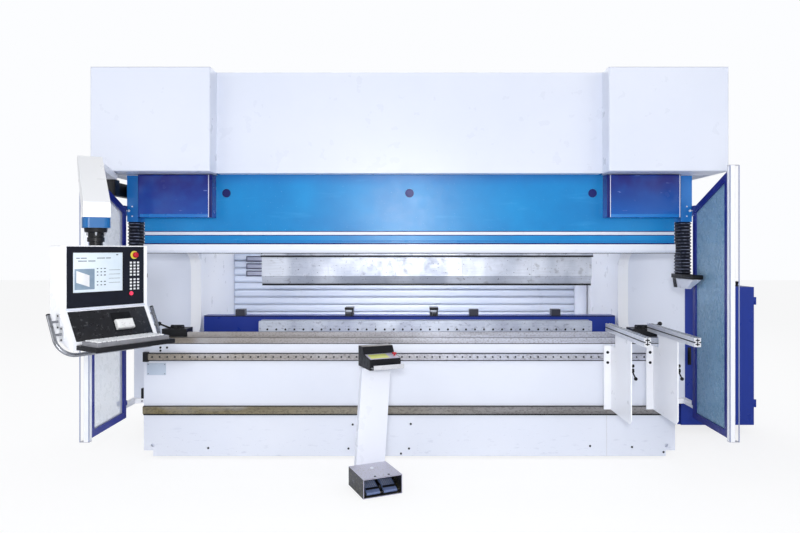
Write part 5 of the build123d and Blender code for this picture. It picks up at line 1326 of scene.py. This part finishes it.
def rear_guard_details():
    low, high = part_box("rear_guard")
    inset = 0.030
    count = 9
    spacing = (high.x - low.x - 2 * inset) / (count - 1)
    heads = []
    for index in range(count):
        for z in (low.z + inset, high.z - inset):
            heads.append(screw("head", (low.x + inset + index * spacing, high.y, z), -FRONT, *cover_screw))
    dress(joined("rear_guard_screws", heads), "frame", machined)
    grip_half, grip_reach, grip_width = 0.080, 0.035, 0.016
    handle_z = high.z - 0.20
    grips = []
    for middle_x in (-0.85, 0.85):
        left, right = middle_x - grip_half, middle_x + grip_half
        for x in (left, right - grip_width):
            foot_high = (x + grip_width, high.y + grip_reach, handle_z + grip_width)
            grips.append(block("foot", (x, high.y, handle_z), foot_high, 0.004, 3))
        bar_low = (left, high.y + grip_reach - grip_width, handle_z)
        grips.append(block("bar", bar_low, (right, high.y + grip_reach, handle_z + grip_width), 0.006, 3))
    dress(joined("rear_guard_handles", grips), "frame", black_plastic)
    seam_half, seam_proud = 0.0025, 0.0008
    seam_low = (-seam_half, high.y - seam_half, low.z + inset / 2)
    seam_high = (seam_half, high.y + seam_proud, high.z - inset / 2)
    seam = block("rear_guard_seam", seam_low, seam_high, seam_proud / 2, 1)
    dress(seam, "frame", dark_steel)


def floor_anchors():
    low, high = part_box("foot_plates")
    edge = 0.034
    nut = [(0, 0.020), (0.014, 0.020), (0.016, 0.017), (0.016, 0.010), (0.030, 0.010), (0.032, 0.008)]
    spots = [(x, y, high.z) for x in (low.x + edge, high.x - edge) for y in (low.y + edge, high.y - edge)]
    dress(row_of(turned("floor_anchors", (0, 0, 0), UP, nut, 6), spots), "frame", machined)


def beam_strip():
    low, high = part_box("backgauge_beam")
    beam_top = 1.086
    corner = (low.x + 0.004, low.y - 0.0015, beam_top - 0.009)
    strip = block("beam_top_strip", corner, (high.x - 0.004, low.y + 0.012, beam_top - 0.0005), 0.001)
    dress(strip, "back_gauge", black_paint)


rear_details()
rear_slats()
finger_plates()
beam_strip()
side_cover_details()
head_cover_details()
rear_guard_details()
floor_anchors()


# Floor, light and camera

def seen_by_camera(tree):
    """1 for rays from the camera and rays that pass through a pane, else 0."""
    rays = add(tree, "ShaderNodeLightPath").outputs
    sockets = {0: rays["Is Camera Ray"], 1: rays["Is Transmission Ray"]}
    return add(tree, "ShaderNodeMath", sockets, operation="MAXIMUM").outputs[0]


def studio():
    """A pale floor and a white surround, dimmer as light on the machine than as seen."""
    floor_size, floor_drop = 60, 0.0005
    glow_strength, glow_share = 1.1, 0.72
    surround_light = 0.55
    bpy.ops.object.select_all(action="DESELECT")
    bpy.ops.mesh.primitive_plane_add(size=floor_size, location=(0, 0, -floor_drop))
    floor = bpy.context.object
    floor.name = "floor"
    material = bpy.data.materials.new("pale_floor")
    material.use_nodes = True
    tree = material.node_tree
    shader = tree.nodes["Principled BSDF"]
    shader.inputs["Base Color"].default_value = linear("#f4f5f8")
    shader.inputs["Roughness"].default_value = 0.7
    shader.inputs["Specular IOR Level"].default_value = 0.1
    seen = seen_by_camera(tree)
    glow = add(tree, "ShaderNodeEmission", inputs={"Color": linear("#ffffff"), "Strength": glow_strength})
    share = add(tree, "ShaderNodeMath", {0: seen}, {1: glow_share}, operation="MULTIPLY")
    mix = add(tree, "ShaderNodeMixShader", {0: share.outputs[0], 1: shader.outputs[0], 2: glow.outputs[0]})
    tree.links.new(mix.outputs[0], tree.nodes["Material Output"].inputs["Surface"])
    floor.data.materials.append(material)
    world = bpy.data.worlds.new("studio")
    bpy.context.scene.world = world
    world.use_nodes = True
    tree = world.node_tree
    sky = tree.nodes["Background"]
    limits = {"From Min": 0, "From Max": 1, "To Min": surround_light, "To Max": 1.0}
    strength = add(tree, "ShaderNodeMapRange", {"Value": seen_by_camera(tree)}, limits)
    tree.links.new(strength.outputs[0], sky.inputs["Strength"])
    sky.inputs["Color"].default_value = linear("#fcfdff")


def lamp(name, place, target, size, watts, height=None):
    """An area lamp at a place, aimed at a target."""
    light = bpy.data.lights.new(name, "AREA")
    light.shape = "RECTANGLE"
    light.size = size
    light.size_y = height or size
    light.energy = watts
    holder = bpy.data.objects.new(name, light)
    bpy.context.scene.collection.objects.link(holder)
    holder.location = place
    holder.rotation_euler = (Vector(target) - Vector(place)).to_track_quat("-Z", "Y").to_euler()


def camera():
    """The photograph's camera: level, aimed straight back, with its picture shifted to fit."""
    lens = bpy.data.cameras.new("camera")
    lens.sensor_width = 36
    lens.lens = focal_pixels / image_width * lens.sensor_width
    lens.shift_x = (image_width / 2 - vanishing_x) / image_width
    lens.shift_y = (vanishing_y - image_height / 2) / image_width
    lens.clip_end = 200
    holder = bpy.data.objects.new("camera", lens)
    bpy.context.scene.collection.objects.link(holder)
    holder.location = (0, bed_front - camera_distance, camera_height)
    holder.rotation_euler = (pi / 2, 0, 0)
    bpy.context.scene.camera = holder


studio()
lamp("key_left", (-5.2, -5.6, 3.4), (0, -0.6, 1.3), 4.0, 68)
lamp("key_right", (5.2, -5.6, 3.2), (0, -0.6, 1.3), 4.0, 62)
lamp("low_fill", (0, -6.8, 0.8), (0, 0, 1.2), 2.0, 38)
lamp("flash", (-0.1, -7.0, 2.25), (0, -0.6, 1.4), 0.5, 110)
lamp("inside", (0, -0.35, 2.05), (0, 0.81, 1.30), 1.8, 22, 0.25)
lamp("back", (0, 6.5, 5.0), (0, 0, 1.4), 5.0, 150)
camera()
bpy.context.scene.view_settings.view_transform = "Standard"
